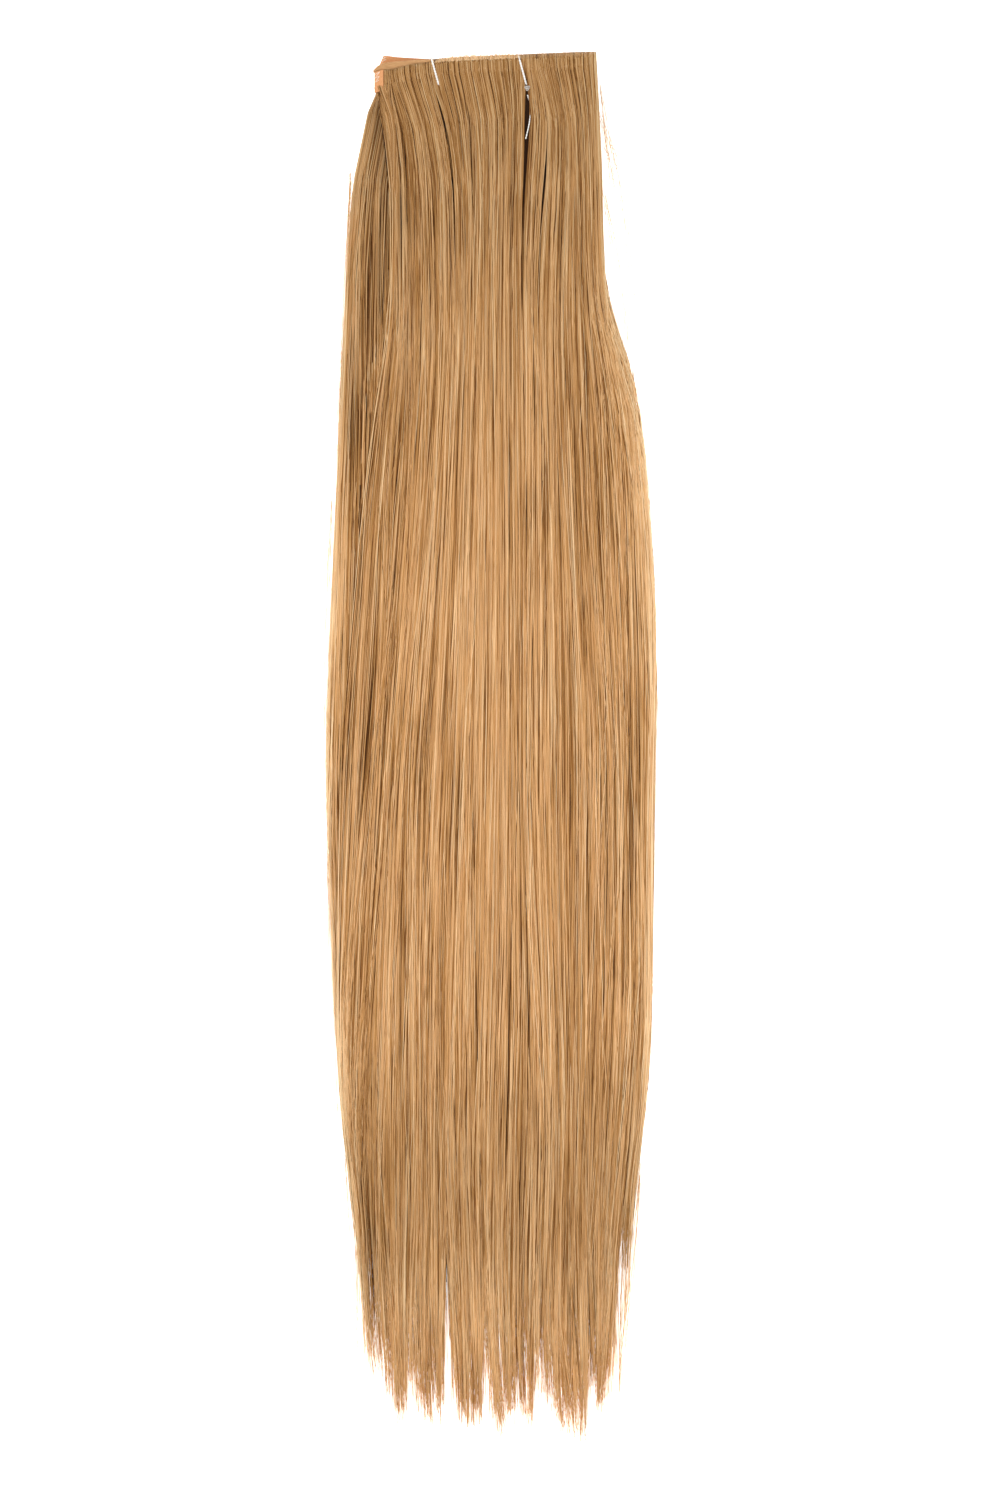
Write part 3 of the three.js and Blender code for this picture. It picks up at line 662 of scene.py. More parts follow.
def root_start(curtain, home):
    """How far below the weft's edge each strand starts.

    The upper curtain's first ones start at the ribbon's rolled edge.
    """
    count = len(home)
    if curtain is BACK:
        return np.full(count, BACK_START)
    x = FRONT.x_at(home, 0.0)
    roll = down_to(np.interp(x, ROLL_COLUMNS, [place["bottom"] for place in ROLL]))
    below_roll = np.maximum(roll - TOP + FRONT.y_at(home, 0.0) - UNDER_ROLL, LEAST_START)
    below_roll = below_roll + rng.uniform(0, ROLL_UNEVEN, count)
    return np.where(x < ROLL_COLUMNS[-1], below_roll, -rng.uniform(*ROOT_RISE, count))


def join_lag(down):
    """How far right of the upper curtain's left edge its strands run, where the lower one's join them."""
    return full_lag(down) * (1 - freedom(down))


LIFTED_FROM = 0.2  # the lower curtain's strands above this height join the upper one
CLIMB = (-5 * MM, 2 * MM)  # where they climb, from the upper curtain's left edge
CLIMB_PAST = 4 * MM  # how far they cover the upper curtain's first strands
CLIMB_LAG = 3 * MM  # they climb all the way where the upper curtain's strands run this far right
LIFTED_HEIGHT = 0.84  # the least height on the upper curtain that they climb to


def lifted(x, down, z, height):
    """Strands of the lower curtain climb on to the upper one where its own strands run further right."""
    past_edge = x - FRONT.x_at(0.0, down)
    lag = join_lag(down)
    share = smooth_step(past_edge, *CLIMB) * (1 - smooth_step(past_edge - lag, 0, CLIMB_PAST))
    share = share * np.clip(lag / CLIMB_LAG, 0, 1)
    top_height = LIFTED_HEIGHT + (1 - LIFTED_HEIGHT) * height
    on_top = FRONT.z_at(FRONT.place_of(x, down), down, top_height)
    return z + share * np.maximum(on_top - z, 0) * (height > LIFTED_FROM)


ROOT_STATIONS = 4  # the stations near the weft, which move little
ROOT_JITTER = 0.3  # how much of the others' jitter they have


def station_gaps(stations):
    """The gap from each station to its nearer neighbour, as far as it may move: none at the ends."""
    gap = np.minimum(np.diff(stations, prepend=0.0), np.diff(stations, append=1.0))
    gap[[0, -1]] = 0
    gap[1:ROOT_STATIONS] *= ROOT_JITTER
    return gap


def strand_drift(curtain, home, down, wander):
    """How far strands stray sideways, together and each by itself."""
    span = home[:, None] * WIDTH
    shape = (len(home), 1)
    turns = down / rng.uniform(*OWN_WAVES, shape) + rng.uniform(0, 1, shape)
    own = wander[:, None] * np.sin(2 * math.pi * turns)
    bunch = BUNCHES[curtain].drift(span, down, BUNCH_STRENGTH)
    return bunch + SWAYS[curtain].drift(span, down, SWAY_STRENGTH) + own


def hair_paths(curtain, home, height, stations, wander):
    """Strands of a curtain as points.

    home is each one's place across and height its place between underside and top, both from 0 to 1.
    """
    count = len(home)
    is_front = curtain is FRONT
    hang = curtain.x_at(home, TIPS_FROM)
    loose = rng.uniform(0, 1, count) < LOOSE
    loose_hold = rng.uniform(0, LOOSE_HOLD, count)
    hold = np.where(loose, loose_hold, np.clip(rng.normal(1, HOLD_SPREAD, count), *HOLD_LIMITS))
    reach = tuft_reach(hang, loose)
    start = root_start(curtain, home)
    moves = rng.uniform(-STATION_JITTER, STATION_JITTER, (count, 1)) * station_gaps(stations)
    inner = np.clip(stations + moves, 0, 1)
    down = start[:, None] + inner * (reach - start)[:, None]
    drift = strand_drift(curtain, home, down, wander)
    to_edge = np.minimum(home, 1 - home) * WIDTH
    calm = CALM_DRIFT + (1 - CALM_DRIFT) * smooth_step(to_edge, 0, CALM_EDGE)
    free = smooth_step(down, FREE_FROM, FREE_FULL) * calm[:, None]
    u = home[:, None] + free * drift / WIDTH
    held = np.minimum(down, TIPS_FROM)
    x = front_x(u, held, home) if is_front else curtain.x_at(u, held)
    x = trimmed(curtain, x, u, held)
    place = curtain.place_of(x, held)
    stray = SPLAY * np.where(loose, 1, HELD_SPLAY)[:, None] * rng.normal(0, 1, (count, 1))
    splay = stray * np.clip((down - TIPS_FROM) / (down_to(LOW_ROW) - TIPS_FROM), 0, 2)
    x = x + tuft_shift(hang, down, hold) + wisp_shift(hang, down, hold) + splay
    y = curtain.y_at(place, down)
    ridge = RIDGES[curtain].level(home[:, None] * WIDTH, down)
    z = curtain.z_at(place, down, height[:, None]) + RIDGE_HEIGHT * ridge * free
    if not is_front:
        z = lifted(x, down, z, height[:, None])
    root = 1 - smooth_step(down - start[:, None], 0, ROOT_REACH)
    front_turn = np.where(start > 0, BAND_TURN, ROOT_TURN)
    turn = front_turn if is_front else np.full(count, BACK_TURN)
    z -= turn[:, None] * root
    paths = np.stack([x, y, np.maximum(z, FLOOR_CLEAR)], axis=-1)
    return paths, down, ridge


# Meshes


def mesh_object(name, points, corners, sizes, material):
    """An object from flat arrays of points and of the faces' corners, which rides on the body."""
    mesh = bpy.data.meshes.new(name)
    mesh.vertices.add(len(points))
    mesh.vertices.foreach_set("co", np.ascontiguousarray(points, dtype=np.float32).ravel())
    mesh.loops.add(len(corners))
    mesh.loops.foreach_set("vertex_index", corners.astype(np.int32))
    mesh.polygons.add(len(sizes))
    starts = np.concatenate([[0], np.cumsum(sizes)[:-1]])
    mesh.polygons.foreach_set("loop_start", starts.astype(np.int32))
    mesh.polygons.foreach_set("use_smooth", np.full(len(sizes), True))
    mesh.update(calc_edges=True)
    thing = bpy.data.objects.new(name, mesh)
    bpy.context.scene.collection.objects.link(thing)
    mesh.materials.append(material)
    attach(thing, "root")
    return thing


def add_values(thing, name, values):
    layer = thing.data.attributes.new(name, "FLOAT", "POINT")
    layer.data.foreach_set("value", np.ascontiguousarray(values, dtype=np.float32).ravel())


def tubes(name, paths, radii, material, sides=3):
    """Many thin tubes in one mesh. paths is tubes by points by 3, radii is tubes by points."""
    count, steps, _ = paths.shape
    along = np.gradient(paths, axis=1)
    along /= np.linalg.norm(along, axis=2, keepdims=True) + 1e-12
    side = np.cross(along, np.array([0.0, 0.0, 1.0]))
    side += np.where(np.linalg.norm(side, axis=2, keepdims=True) < 1e-3, [1.0, 0.0, 0.0], 0.0)
    side /= np.linalg.norm(side, axis=2, keepdims=True)
    up = np.cross(side, along)
    angles = rng.uniform(0, 2 * math.pi, (count, 1, 1)) + 2 * math.pi * np.arange(sides) / sides
    angles = angles[..., None]
    ring = np.cos(angles) * side[:, :, None, :] + np.sin(angles) * up[:, :, None, :]
    points = (paths[:, :, None, :] + radii[:, :, None, None] * ring).reshape(-1, 3)
    first = (np.arange(count) * steps * sides)[:, None, None]
    here = first + (np.arange(steps - 1) * sides)[None, :, None]
    k = np.arange(sides)[None, None, :]
    a, b = here + k, here + (k + 1) % sides
    walls = np.stack([a, a + sides, b + sides, b], axis=-1).reshape(count, -1)
    start_cap = first[:, 0] + np.arange(sides)
    end_cap = first[:, 0] + (steps - 1) * sides + np.arange(sides)[::-1]
    corners = np.concatenate([walls, start_cap, end_cap], axis=1).ravel()
    sizes = np.tile(np.array([4] * ((steps - 1) * sides) + [sides, sides]), count)
    thing = mesh_object(name, points, corners, sizes, material)
    add_cells(thing, count, steps, sides)
    return thing


# Where the walls and the two end caps of a tube lie in its cell
CELL_LOW = 0.1
CELL_HIGH = 0.9
CAP_MIDDLE = (0.5, 0.03)
CAP_SIZE = (0.4, 0.02)
CAP_STEP = 0.93  # from the first cap up to the second


def add_cells(thing, count, steps, sides):
    """A UV map that gives each tube a cell of its own: its sides side by side, its length upwards."""
    cells = math.ceil(math.sqrt(count))
    across = CELL_LOW + (CELL_HIGH - CELL_LOW) * np.arange(sides + 1) / sides
    upward = CELL_LOW + (CELL_HIGH - CELL_LOW) * np.arange(steps) / (steps - 1)
    wall = []
    for low, high in zip(upward[:-1], upward[1:]):
        for near, far in zip(across[:-1], across[1:]):
            wall += [(near, low), (near, high), (far, high), (far, low)]
    turn = 2 * math.pi * np.arange(sides) / sides
    cap = CAP_MIDDLE + CAP_SIZE * np.stack([np.cos(turn), np.sin(turn)], axis=-1)
    corners = np.concatenate([np.array(wall), cap, cap + [0, CAP_STEP]])
    index = np.arange(count)
    origin = np.stack([index % cells, index // cells], axis=-1)
    layer = thing.data.uv_layers.new(name="OFBake")
    layer.data.foreach_set("uv", ((origin[:, None, :] + corners) / cells).astype(np.float32).ravel())


# The two curtains as strands over a body

# Places along a strand where it has a point: close together at the weft and at the tip
FINE_STATIONS = np.array(
    [0, 0.004, 0.012, 0.028, 0.05, 0.08, 0.12, 0.19, 0.25, 0.38, 0.54, 0.72, 0.86, 0.94, 1.0]
)
PLAIN_STATIONS = np.array([0, 0.005, 0.04, 0.1, 0.19, 0.26, 0.4, 0.6, 0.83, 0.93, 1.0])
STRAND_RADIUS = 0.14 * MM
RADIUS_SPREAD = (0.6, 1.4)
STRAND_TAPER = [(0.0, 1.0), (0.8, 1.0), (0.92, 0.8), (1.0, 0.45)]
HEIGHT_SHAPE = (1.0, 2.0)  # of a beta distribution, so that more strands lie near the top of their layer
WANDER = 0.25 * MM  # how far a strand wanders sideways by itself
WANDER_SPREAD = 0.9
WANDER_MOST = 3 * MM
BASE_TONE = 0.625
BACK_TONE = 0.03  # how much lighter the lower curtain is
OWN_TONE = 0.13
DARK_STRANDS = 0.13  # share of the strands that are darker, and by how much
DARKER = 0.2
# Painted shade: strands lower in the hair are darker, as if shaded by those above them
DEPTH_SHADE = 1.2  # how much darker strands at the underside are than those on top
BACK_DEPTH = 0.3  # the share of that in the lower curtain
THIN_DEPTH = 0.9  # how much of it is gone where the hair has grown thin
# Painted light: the hair is lighter near the outline, as if light shone through its thin edges
EDGE_LIGHT = 0.52
EDGE_REACH = 2.4 * MM
LEFT_EDGE_ROWS = (850, 1100)  # the stretch over which the upper curtain's left edge becomes the outline
# Painted shadow of the upper curtain on the lower one beside it
INNER_SHADE = 0.02  # how much darker the lower curtain is beside the upper one, and where
INNER_ROWS = ((130, 190), (290, 420))
INNER_OFFSET = 5 * MM
INNER_REACH = 7 * MM
# Painted light and shade: raised locks are lighter, and the grooves between them darker
RIDGE_SHADING = 0.05
GROOVE_SHADE = 0.16  # how much darker the hair is in the grooves between its locks
GROOVE_FROM = -0.4
WAVE_TONE = 0.04  # how much each strand's tone changes along it
WAVE_LENGTH = 0.16
# Painted highlight: the bend of the roots at the top edge is lighter, as if lit from behind
ROOT_LIGHT = 0.12  # how much lighter the bend of the roots is
ROOT_LIGHT_REACH = 2.5 * MM
# Painted light: the thinning ends and the wisps are lighter, as if light shone through them
TIP_LIGHT = 0.18
TIP_ROWS = (1235, 1345)  # the stretch over which the hair grows thinner and lighter
WISP_LIGHT = 0.1  # how much lighter the wisps are again


def strand_tones(curtain, home, height, paths, down, ridge):
    """How light each strand is at each point, on the hair's scale of tones: its own tone, with painted shade
    at depth, in grooves and beside the upper curtain, and painted light on raised locks, at the edges,
    roots, tips and wisps.
    """
    count = len(home)
    left_light = np.exp(-home * WIDTH / EDGE_REACH)[:, None]
    if curtain is FRONT:
        left_light = left_light * smooth_step(down, *down_to(LEFT_EDGE_ROWS))
    right_light = np.exp(-(1 - home) * WIDTH / EDGE_REACH)[:, None]
    depth = DEPTH_SHADE * (1 - height) * (1 if curtain is FRONT else BACK_DEPTH)
    thinning = smooth_step(down, *down_to(TIP_ROWS))
    tone = BASE_TONE + rng.normal(0, OWN_TONE, count)
    tone -= DARKER * (rng.uniform(0, 1, count) < DARK_STRANDS)
    tone = tone[:, None] - depth[:, None] * (1 - THIN_DEPTH * thinning) + TIP_LIGHT * thinning
    tone += EDGE_LIGHT * (left_light + right_light)
    tone += WISP_LIGHT * smooth_step(down, *down_to(WISP_ROWS))
    tone += RIDGE_SHADING * ridge - GROOVE_SHADE * np.maximum(0, GROOVE_FROM - ridge)
    turns = down / WAVE_LENGTH + rng.uniform(0, 1, (count, 1))
    tone += WAVE_TONE * np.sin(2 * math.pi * turns)
    tone += ROOT_LIGHT * (1 - smooth_step(down, 0, ROOT_LIGHT_REACH))
    if curtain is BACK:
        off = paths[..., 0] - FRONT.x_at(0.0, down) + INNER_OFFSET
        starts, ends = (smooth_step(down, *down_to(rows)) for rows in INNER_ROWS)
        shade = INNER_SHADE * np.exp(-((off / INNER_REACH) ** 2)) * starts * (1 - ends)
        tone += BACK_TONE - shade
    return tone


def strand_piece(curtain, name, count, lowest, highest, stations, wander=WANDER):
    """A layer of a curtain's strands, between two heights. A few of them wander across their neighbours."""
    home = (np.arange(count) + rng.uniform(0, 1, count)) / count
    height = highest - (highest - lowest) * rng.beta(*HEIGHT_SHAPE, count)
    wanders = wander * np.exp(rng.normal(0, WANDER_SPREAD, count)) * rng.choice([-1, 1], count)
    wanders = np.clip(wanders, -WANDER_MOST, WANDER_MOST)
    paths, down, ridge = hair_paths(curtain, home, height, stations, wanders)
    taper = np.interp(stations, *zip(*STRAND_TAPER))
    radii = STRAND_RADIUS * rng.uniform(*RADIUS_SPREAD, (count, 1)) * taper
    thing = tubes(name, paths, radii, HAIR)
    tones = strand_tones(curtain, home, height, paths, down, ridge)
    add_hair_values(thing, tones, down / LENGTH, home[:, None] * WIDTH)


def add_hair_values(thing, tone, along, across, sides=3):
    """What the hair's material reads, from arrays of tubes by points."""
    shape = np.broadcast(tone, along, across).shape
    for name, values in (("tone", tone), ("along", along), ("across", across)):
        add_values(thing, name, np.repeat(np.broadcast_to(values, shape).reshape(-1), sides))


CORE_ROWS = 70
CORE_COLUMNS = 44
CORE_START = 1.0 * MM
CORE_THINS = 0.74  # share of the length where the body starts to thin, and where it ends
CORE_END = 0.83
CORE_INSET = 0.022  # how far the body stays off both edges, as a share of the width
CORE_LEAST = 0.05 * MM  # how thick it still is at its end
# Painted shade: the body is dark, so that where it shows between the strands it reads as the shade inside
# the hair
CORE_SHADE = 0.2


def core(curtain, name, low_share, high_share):
    """A closed body inside the curtain, which its strands lie on."""
    down = np.linspace(CORE_START, CORE_END * LENGTH, CORE_ROWS)
    across, down = np.meshgrid(np.linspace(CORE_INSET, 1 - CORE_INSET, CORE_COLUMNS), down)
    thin = 1 - smooth_step(down, CORE_THINS * LENGTH, CORE_END * LENGTH)
    x, y = trimmed(curtain, curtain.x_at(across, down), across, down), curtain.y_at(across, down)
    if curtain is FRONT:
        x = x + join_lag(down) * (1 - across)
    middle = (low_share + high_share) / 2
    high, low = (
        curtain.z_at(across, down, middle + (share - middle) * thin) for share in (high_share, low_share)
    )
    layers = (high, low - CORE_LEAST)
    points = np.concatenate([np.stack([x, y, z], axis=-1).reshape(-1, 3) for z in layers])
    index = np.arange(CORE_ROWS * CORE_COLUMNS).reshape(CORE_ROWS, CORE_COLUMNS)
    upper = np.stack([index[:-1, :-1], index[1:, :-1], index[1:, 1:], index[:-1, 1:]], axis=-1)
    upper = upper.reshape(-1, 4)
    lower = upper[:, ::-1] + index.size
    rim = np.concatenate([index[:, 0], index[-1, 1:], index[-2::-1, -1], index[0, -2:0:-1]])
    after = np.roll(rim, -1)
    wall = np.stack([after, rim, rim + index.size, after + index.size], axis=-1)
    faces = np.concatenate([upper, lower, wall])
    thing = mesh_object(name, points, faces.ravel(), np.full(len(faces), 4), HAIR)
    along = np.tile(down.ravel(), 2) / LENGTH
    add_hair_values(thing, CORE_SHADE, along, np.tile(across.ravel(), 2) * WIDTH, sides=1)
    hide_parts(curtain.node)


core(BACK, "back_hair_core", low_share=0.2, high_share=0.6)
core(FRONT, "front_hair_core", low_share=0.2, high_share=0.62)
strand_piece(BACK, "back_hair_lower", 2500, lowest=0.0, highest=0.5, stations=PLAIN_STATIONS)
strand_piece(BACK, "back_hair_upper", 2500, lowest=0.5, highest=1.0, stations=PLAIN_STATIONS)
strand_piece(FRONT, "front_hair_inner", 2300, lowest=0.1, highest=0.8, stations=PLAIN_STATIONS)
strand_piece(FRONT, "front_hair_middle", 2280, lowest=0.75, highest=0.97, stations=FINE_STATIONS)
strand_piece(FRONT, "front_hair_outer", 2280, lowest=0.88, highest=1.0, stations=FINE_STATIONS)


# Loose hairs


LOOSE_RADII = (0.7, 1.3)  # how unevenly thick loose hairs are
LOOSE_END = 0.5  # the thickness of their tips, as a share of the whole


def loose_hairs(name, paths, radius, tones, along):
    """Thin hairs in one mesh. tones and along hold one value for each hair."""
    count, steps, _ = paths.shape
    radii = radius * rng.uniform(*LOOSE_RADII, (count, 1)) * np.linspace(1.0, LOOSE_END, steps)
    thing = tubes(name, paths, radii, HAIR)
    across = rng.uniform(0, WIDTH, (count, 1))
    add_hair_values(thing, tones[:, None], along[:, None], across + np.zeros(steps))


def front_point(x, down, height):
    """Points on the upper curtain from x and the distance down."""
    place = FRONT.place_of(x, down)
    return np.stack([x, FRONT.y_at(place, down), FRONT.z_at(place, down, height)], axis=-1)


# Dark strands that stand for the shade inside the partings: painted shadow
SHADOW_STEPS = 10
SHADOW_ABOVE = 4  # how many rows above their parting the dark strands start
SHADOW_BELOW = 25  # and how many below it they end
SHADOW_LEAST = 12  # how many there are at least, and how many more for each pixel of the half width
SHADOW_MORE = 26
SHADOW_MARGIN = 0.4  # how many pixels they reach past the parting's sides
SHADOW_HEIGHTS = (0.66, 0.8)
SHADOW_RADIUS = 0.16 * MM
SHADOW_TONE = -0.05
SHADOW_TONE_SPREAD = 0.06
SHADOW_ALONG = 0.04


def parting_shadow_strands():
    """Dark strands laid into the partings as painted shadow."""
    paths = []
    for guide in GUIDES:
        halves = np.array(guide["halves"])
        if not halves.any():
            continue
        first, last = np.flatnonzero(halves)[[0, -1]]
        row = np.linspace(GUIDE_ROWS[first] - SHADOW_ABOVE, GUIDE_ROWS[last] + SHADOW_BELOW, SHADOW_STEPS)
        count = int(SHADOW_LEAST + SHADOW_MORE * halves.max())
        line = np.interp(row, SMOOTH_ROWS, guide["line"])
        half = SHADOW_MARGIN + np.interp(row, GUIDE_ROWS, halves)
        x = at_column(line + half * rng.uniform(-1, 1, (count, 1)))
        down = np.broadcast_to(down_to(row), x.shape)
        paths.append(front_point(x, down, rng.uniform(*SHADOW_HEIGHTS, (count, 1))))
    paths = np.concatenate(paths)
    tones = rng.normal(SHADOW_TONE, SHADOW_TONE_SPREAD, len(paths))
    loose_hairs("parting_shadow_strands", paths, SHADOW_RADIUS, tones, np.full(len(paths), SHADOW_ALONG))


# Dark hairs laid into grooves further down, as painted shade
# Long dark lines further down: where each starts and ends, as the photo's columns and rows, its number of
# hairs and its half width in pixels
DARK_LINES = [
    {"start": (472, 780), "end": (478, 1110), "count": 9, "half": 1.0},
    {"start": (420, 785), "end": (422, 1010), "count": 4, "half": 0.8},
]
DARK_LINE_STEPS = 12
DARK_LINE_STARTS = (0, 0.35)  # where its hairs start and end, as shares of the line
DARK_LINE_ENDS = (0.7, 1.0)
DARK_LINE_HEIGHT = 1.02
DARK_LINE_SINK = 0.6 * MM  # how far the hairs' two ends are sunk in
DARK_LINE_RADIUS = 0.13 * MM
DARK_LINE_TONE = 0.2
DARK_LINE_TONE_SPREAD = 0.05
MID_ALONG = 0.5  # loose hairs take their shade from here along the hair


def groove_shadow_lines():
    t = np.linspace(0, 1, DARK_LINE_STEPS)
    for number, line in enumerate(DARK_LINES):
        count = line["count"]
        first, last = np.array(line["start"], float), np.array(line["end"], float)
        start = rng.uniform(*DARK_LINE_STARTS, (count, 1))
        at = start + (rng.uniform(*DARK_LINE_ENDS, (count, 1)) - start) * t
        side = line["half"] * rng.uniform(-1, 1, (count, 1))
        column = first[0] + (last[0] - first[0]) * at + side
        down = down_to(first[1] + (last[1] - first[1]) * at)
        paths = front_point(at_column(column), down, DARK_LINE_HEIGHT)
        paths[:, [0, -1], 2] -= DARK_LINE_SINK
        tones = rng.normal(DARK_LINE_TONE, DARK_LINE_TONE_SPREAD, count)
        name = f"dark_line_{number + 1}"
        loose_hairs(name, paths, DARK_LINE_RADIUS, tones, np.full(count, MID_ALONG))


# Hairs that stand off the outline: where a group starts, bows and ends, as the photo's columns and rows, how
# many there are, and how far they spread, in pixels
FLYAWAYS = [
    {"start": (601, 120), "middle": (624, 230), "end": (634, 352), "count": 26, "spread": 9},
    {"start": (604, 195), "middle": (617, 270), "end": (629, 345), "count": 18, "spread": 6},
    {"start": (600, 90), "middle": (609, 150), "end": (613, 215), "count": 12, "spread": 4},
    {"start": (351, 175), "middle": (344, 300), "end": (338, 430), "count": 26, "spread": 4},
    {"start": (341, 400), "middle": (335, 520), "end": (331, 640), "count": 12, "spread": 3},
    {"start": (328, 860), "middle": (332, 1000), "end": (340, 1150), "count": 16, "spread": 4},
    {"start": (632, 370), "middle": (647, 480), "end": (654, 600), "count": 14, "spread": 3},
    {"start": (332, 500), "middle": (324, 700), "end": (327, 880), "count": 14, "spread": 5},
    {"start": (651, 560), "middle": (657, 740), "end": (653, 900), "count": 12, "spread": 3},
    {"start": (649, 960), "middle": (654, 1060), "end": (646, 1210), "count": 14, "spread": 5},
    {"start": (640, 1170), "middle": (630, 1290), "end": (621, 1392), "count": 22, "spread": 5},
    {"start": (345, 1150), "middle": (351, 1260), "end": (361, 1385), "count": 12, "spread": 4},
]
FLYAWAY_STEPS = 11
FLYAWAY_SPREAD = (1, 3)  # across and along the hair, in spreads
FLYAWAY_ROOT_SPREAD = (0.3, 1)  # the same where they start, as shares of that
FLYAWAY_HEIGHTS = (0.8 * MM, 2.5 * MM)
FLYAWAY_RADIUS = 0.06 * MM
FLYAWAY_TONE = 0.88
FLYAWAY_TONE_SPREAD = 0.08


def flyaway(group, t):
    """One hair of a group, from its root to its tip."""
    start, middle, end = (np.array(group[key], float) for key in ("start", "middle", "end"))
    off = rng.normal(0, 0.5, (3, 2)) * group["spread"] * FLYAWAY_SPREAD
    first, last = start + off[0] * FLYAWAY_ROOT_SPREAD, end + off[2]
    bow = 2 * (middle + off[1]) - (first + last) / 2
    pixels = first * (1 - t) ** 2 + 2 * bow * t * (1 - t) + last * t**2
    edge = 1.0 if start[0] > MIDDLE_COLUMN else 0.0
    down = down_to(pixels[:, 1])
    root = FRONT.z_at(edge, down[:1], 0.5)
    z = np.maximum(root * (1 - t[:, 0]) ** 2, rng.uniform(*FLYAWAY_HEIGHTS))
    return np.stack([at_column(pixels[:, 0]), TOP - down, z], axis=-1)


def flyaways():
    t = np.linspace(0, 1, FLYAWAY_STEPS)[:, None]
    paths = np.array([flyaway(group, t) for group in FLYAWAYS for _ in range(group["count"])])
    tones = rng.normal(FLYAWAY_TONE, FLYAWAY_TONE_SPREAD, len(paths))
    loose_hairs("flyaway_hairs", paths, FLYAWAY_RADIUS, tones, np.full(len(paths), MID_ALONG))


# Short pale ends of the hair that was turned back into the weft: where they stand, in the photo's columns,
# how many and how high at most, how light, and where along the hair they take their shade from
# The first group's pale tone is painted backlight shining through the thin fringe
RETURNED = [
    {"from": 434, "to": 523, "count": 620, "height": 2.7 * MM, "tone": 0.95, "along": 0.5},
    {"from": 524, "to": 594, "count": 220, "height": 1.0 * MM, "tone": 0.75, "along": 0.15},
]
RETURN_FADE = 14  # they grow shorter this close to both ends of their stretch, in pixels
RETURN_FOOT = 0.9 * MM  # how far below the edge they come out of the hair
RETURN_STEPS = 4
RETURN_SHORTEST = 0.3
RETURN_LEAN = -0.12  # how far they lean to the right for their height
RETURN_LEAN_SPREAD = 0.18
RETURN_HEIGHT = 0.6  # how high in the curtain their feet stand
RETURN_DROPS = (0.3, 2.6)  # by how many millimetres their tips bend down
RETURN_TONE_SPREAD = 0.1
RETURN_RADIUS = 0.08 * MM


def returned_hairs():
    paths, tones, along = [], [], []
    t = np.linspace(0, 1, RETURN_STEPS)
    for group in RETURNED:
        count = group["count"]
        column = rng.uniform(group["from"], group["to"], count)
        x = at_column(column)[:, None]
        to_end = np.minimum(column - group["from"], group["to"] - column)
        share = rng.uniform(RETURN_SHORTEST, 1.0, count) * smooth_step(to_end, -3, RETURN_FADE)
        rise = group["height"] * share[:, None]
        lean = rng.normal(RETURN_LEAN, RETURN_LEAN_SPREAD, (count, 1))
        foot = front_point(x, np.full_like(x, RETURN_FOOT), RETURN_HEIGHT)[:, 0]
        drop = rng.uniform(*RETURN_DROPS, (count, 1)) * MM
        y = foot[:, 1:2] + (RETURN_FOOT + rise) * t
        paths.append(np.stack([x + lean * rise * t, y, foot[:, 2:3] - drop * t**2], axis=-1))
        tones.append(rng.normal(group["tone"], RETURN_TONE_SPREAD, count))
        along.append(np.full(count, group["along"]))
    paths, tones, along = (np.concatenate(parts) for parts in (paths, tones, along))
    loose_hairs("returned_hairs", paths, RETURN_RADIUS, tones, along)


STRAY_STATIONS = np.concatenate([[0, 0.01, 0.05], np.linspace(0.1, 1.0, 14)])
STRAY_WANDER = 1.3 * MM
parting_shadow_strands()
groove_shadow_lines()
flyaways()
strand_piece(FRONT, "stray_hairs", 320, 1.0, 1.04, STRAY_STATIONS, STRAY_WANDER)
returned_hairs()


# The ribbon's rolled edge, its stitches and the tie threads


RIBBON_TREE = node_tree("weft_ribbon")
SURFACE_TREES = (RIBBON_TREE, FRONT.tree, BACK.tree)
track_low, track_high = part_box("weft_track")
STACK_MIDDLE = (track_low.z + track_high.z) / 2
ROLL_STEPS = 30
ROLL_SIDES = 20
ROLL_PROUD = 0.3 * MM  # how far the roll stands above the track
ROLL_SQUARE = 0.6  # below 1, how square its section is


def upper_edge(x):
    """y of the top edge of the ribbon's upper half."""
    levels = np.arange(STACK_MIDDLE + 1 * MM, track_high.z, 0.3 * MM)
    hits = [hit(RIBBON_TREE, (x, TOP + OUTSIDE, z), (0, -1, 0)) for z in levels]
    return max(place.y for place in hits if place is not None)


def rounded_power(value):
    return np.sign(value) * np.abs(value) ** ROLL_SQUARE


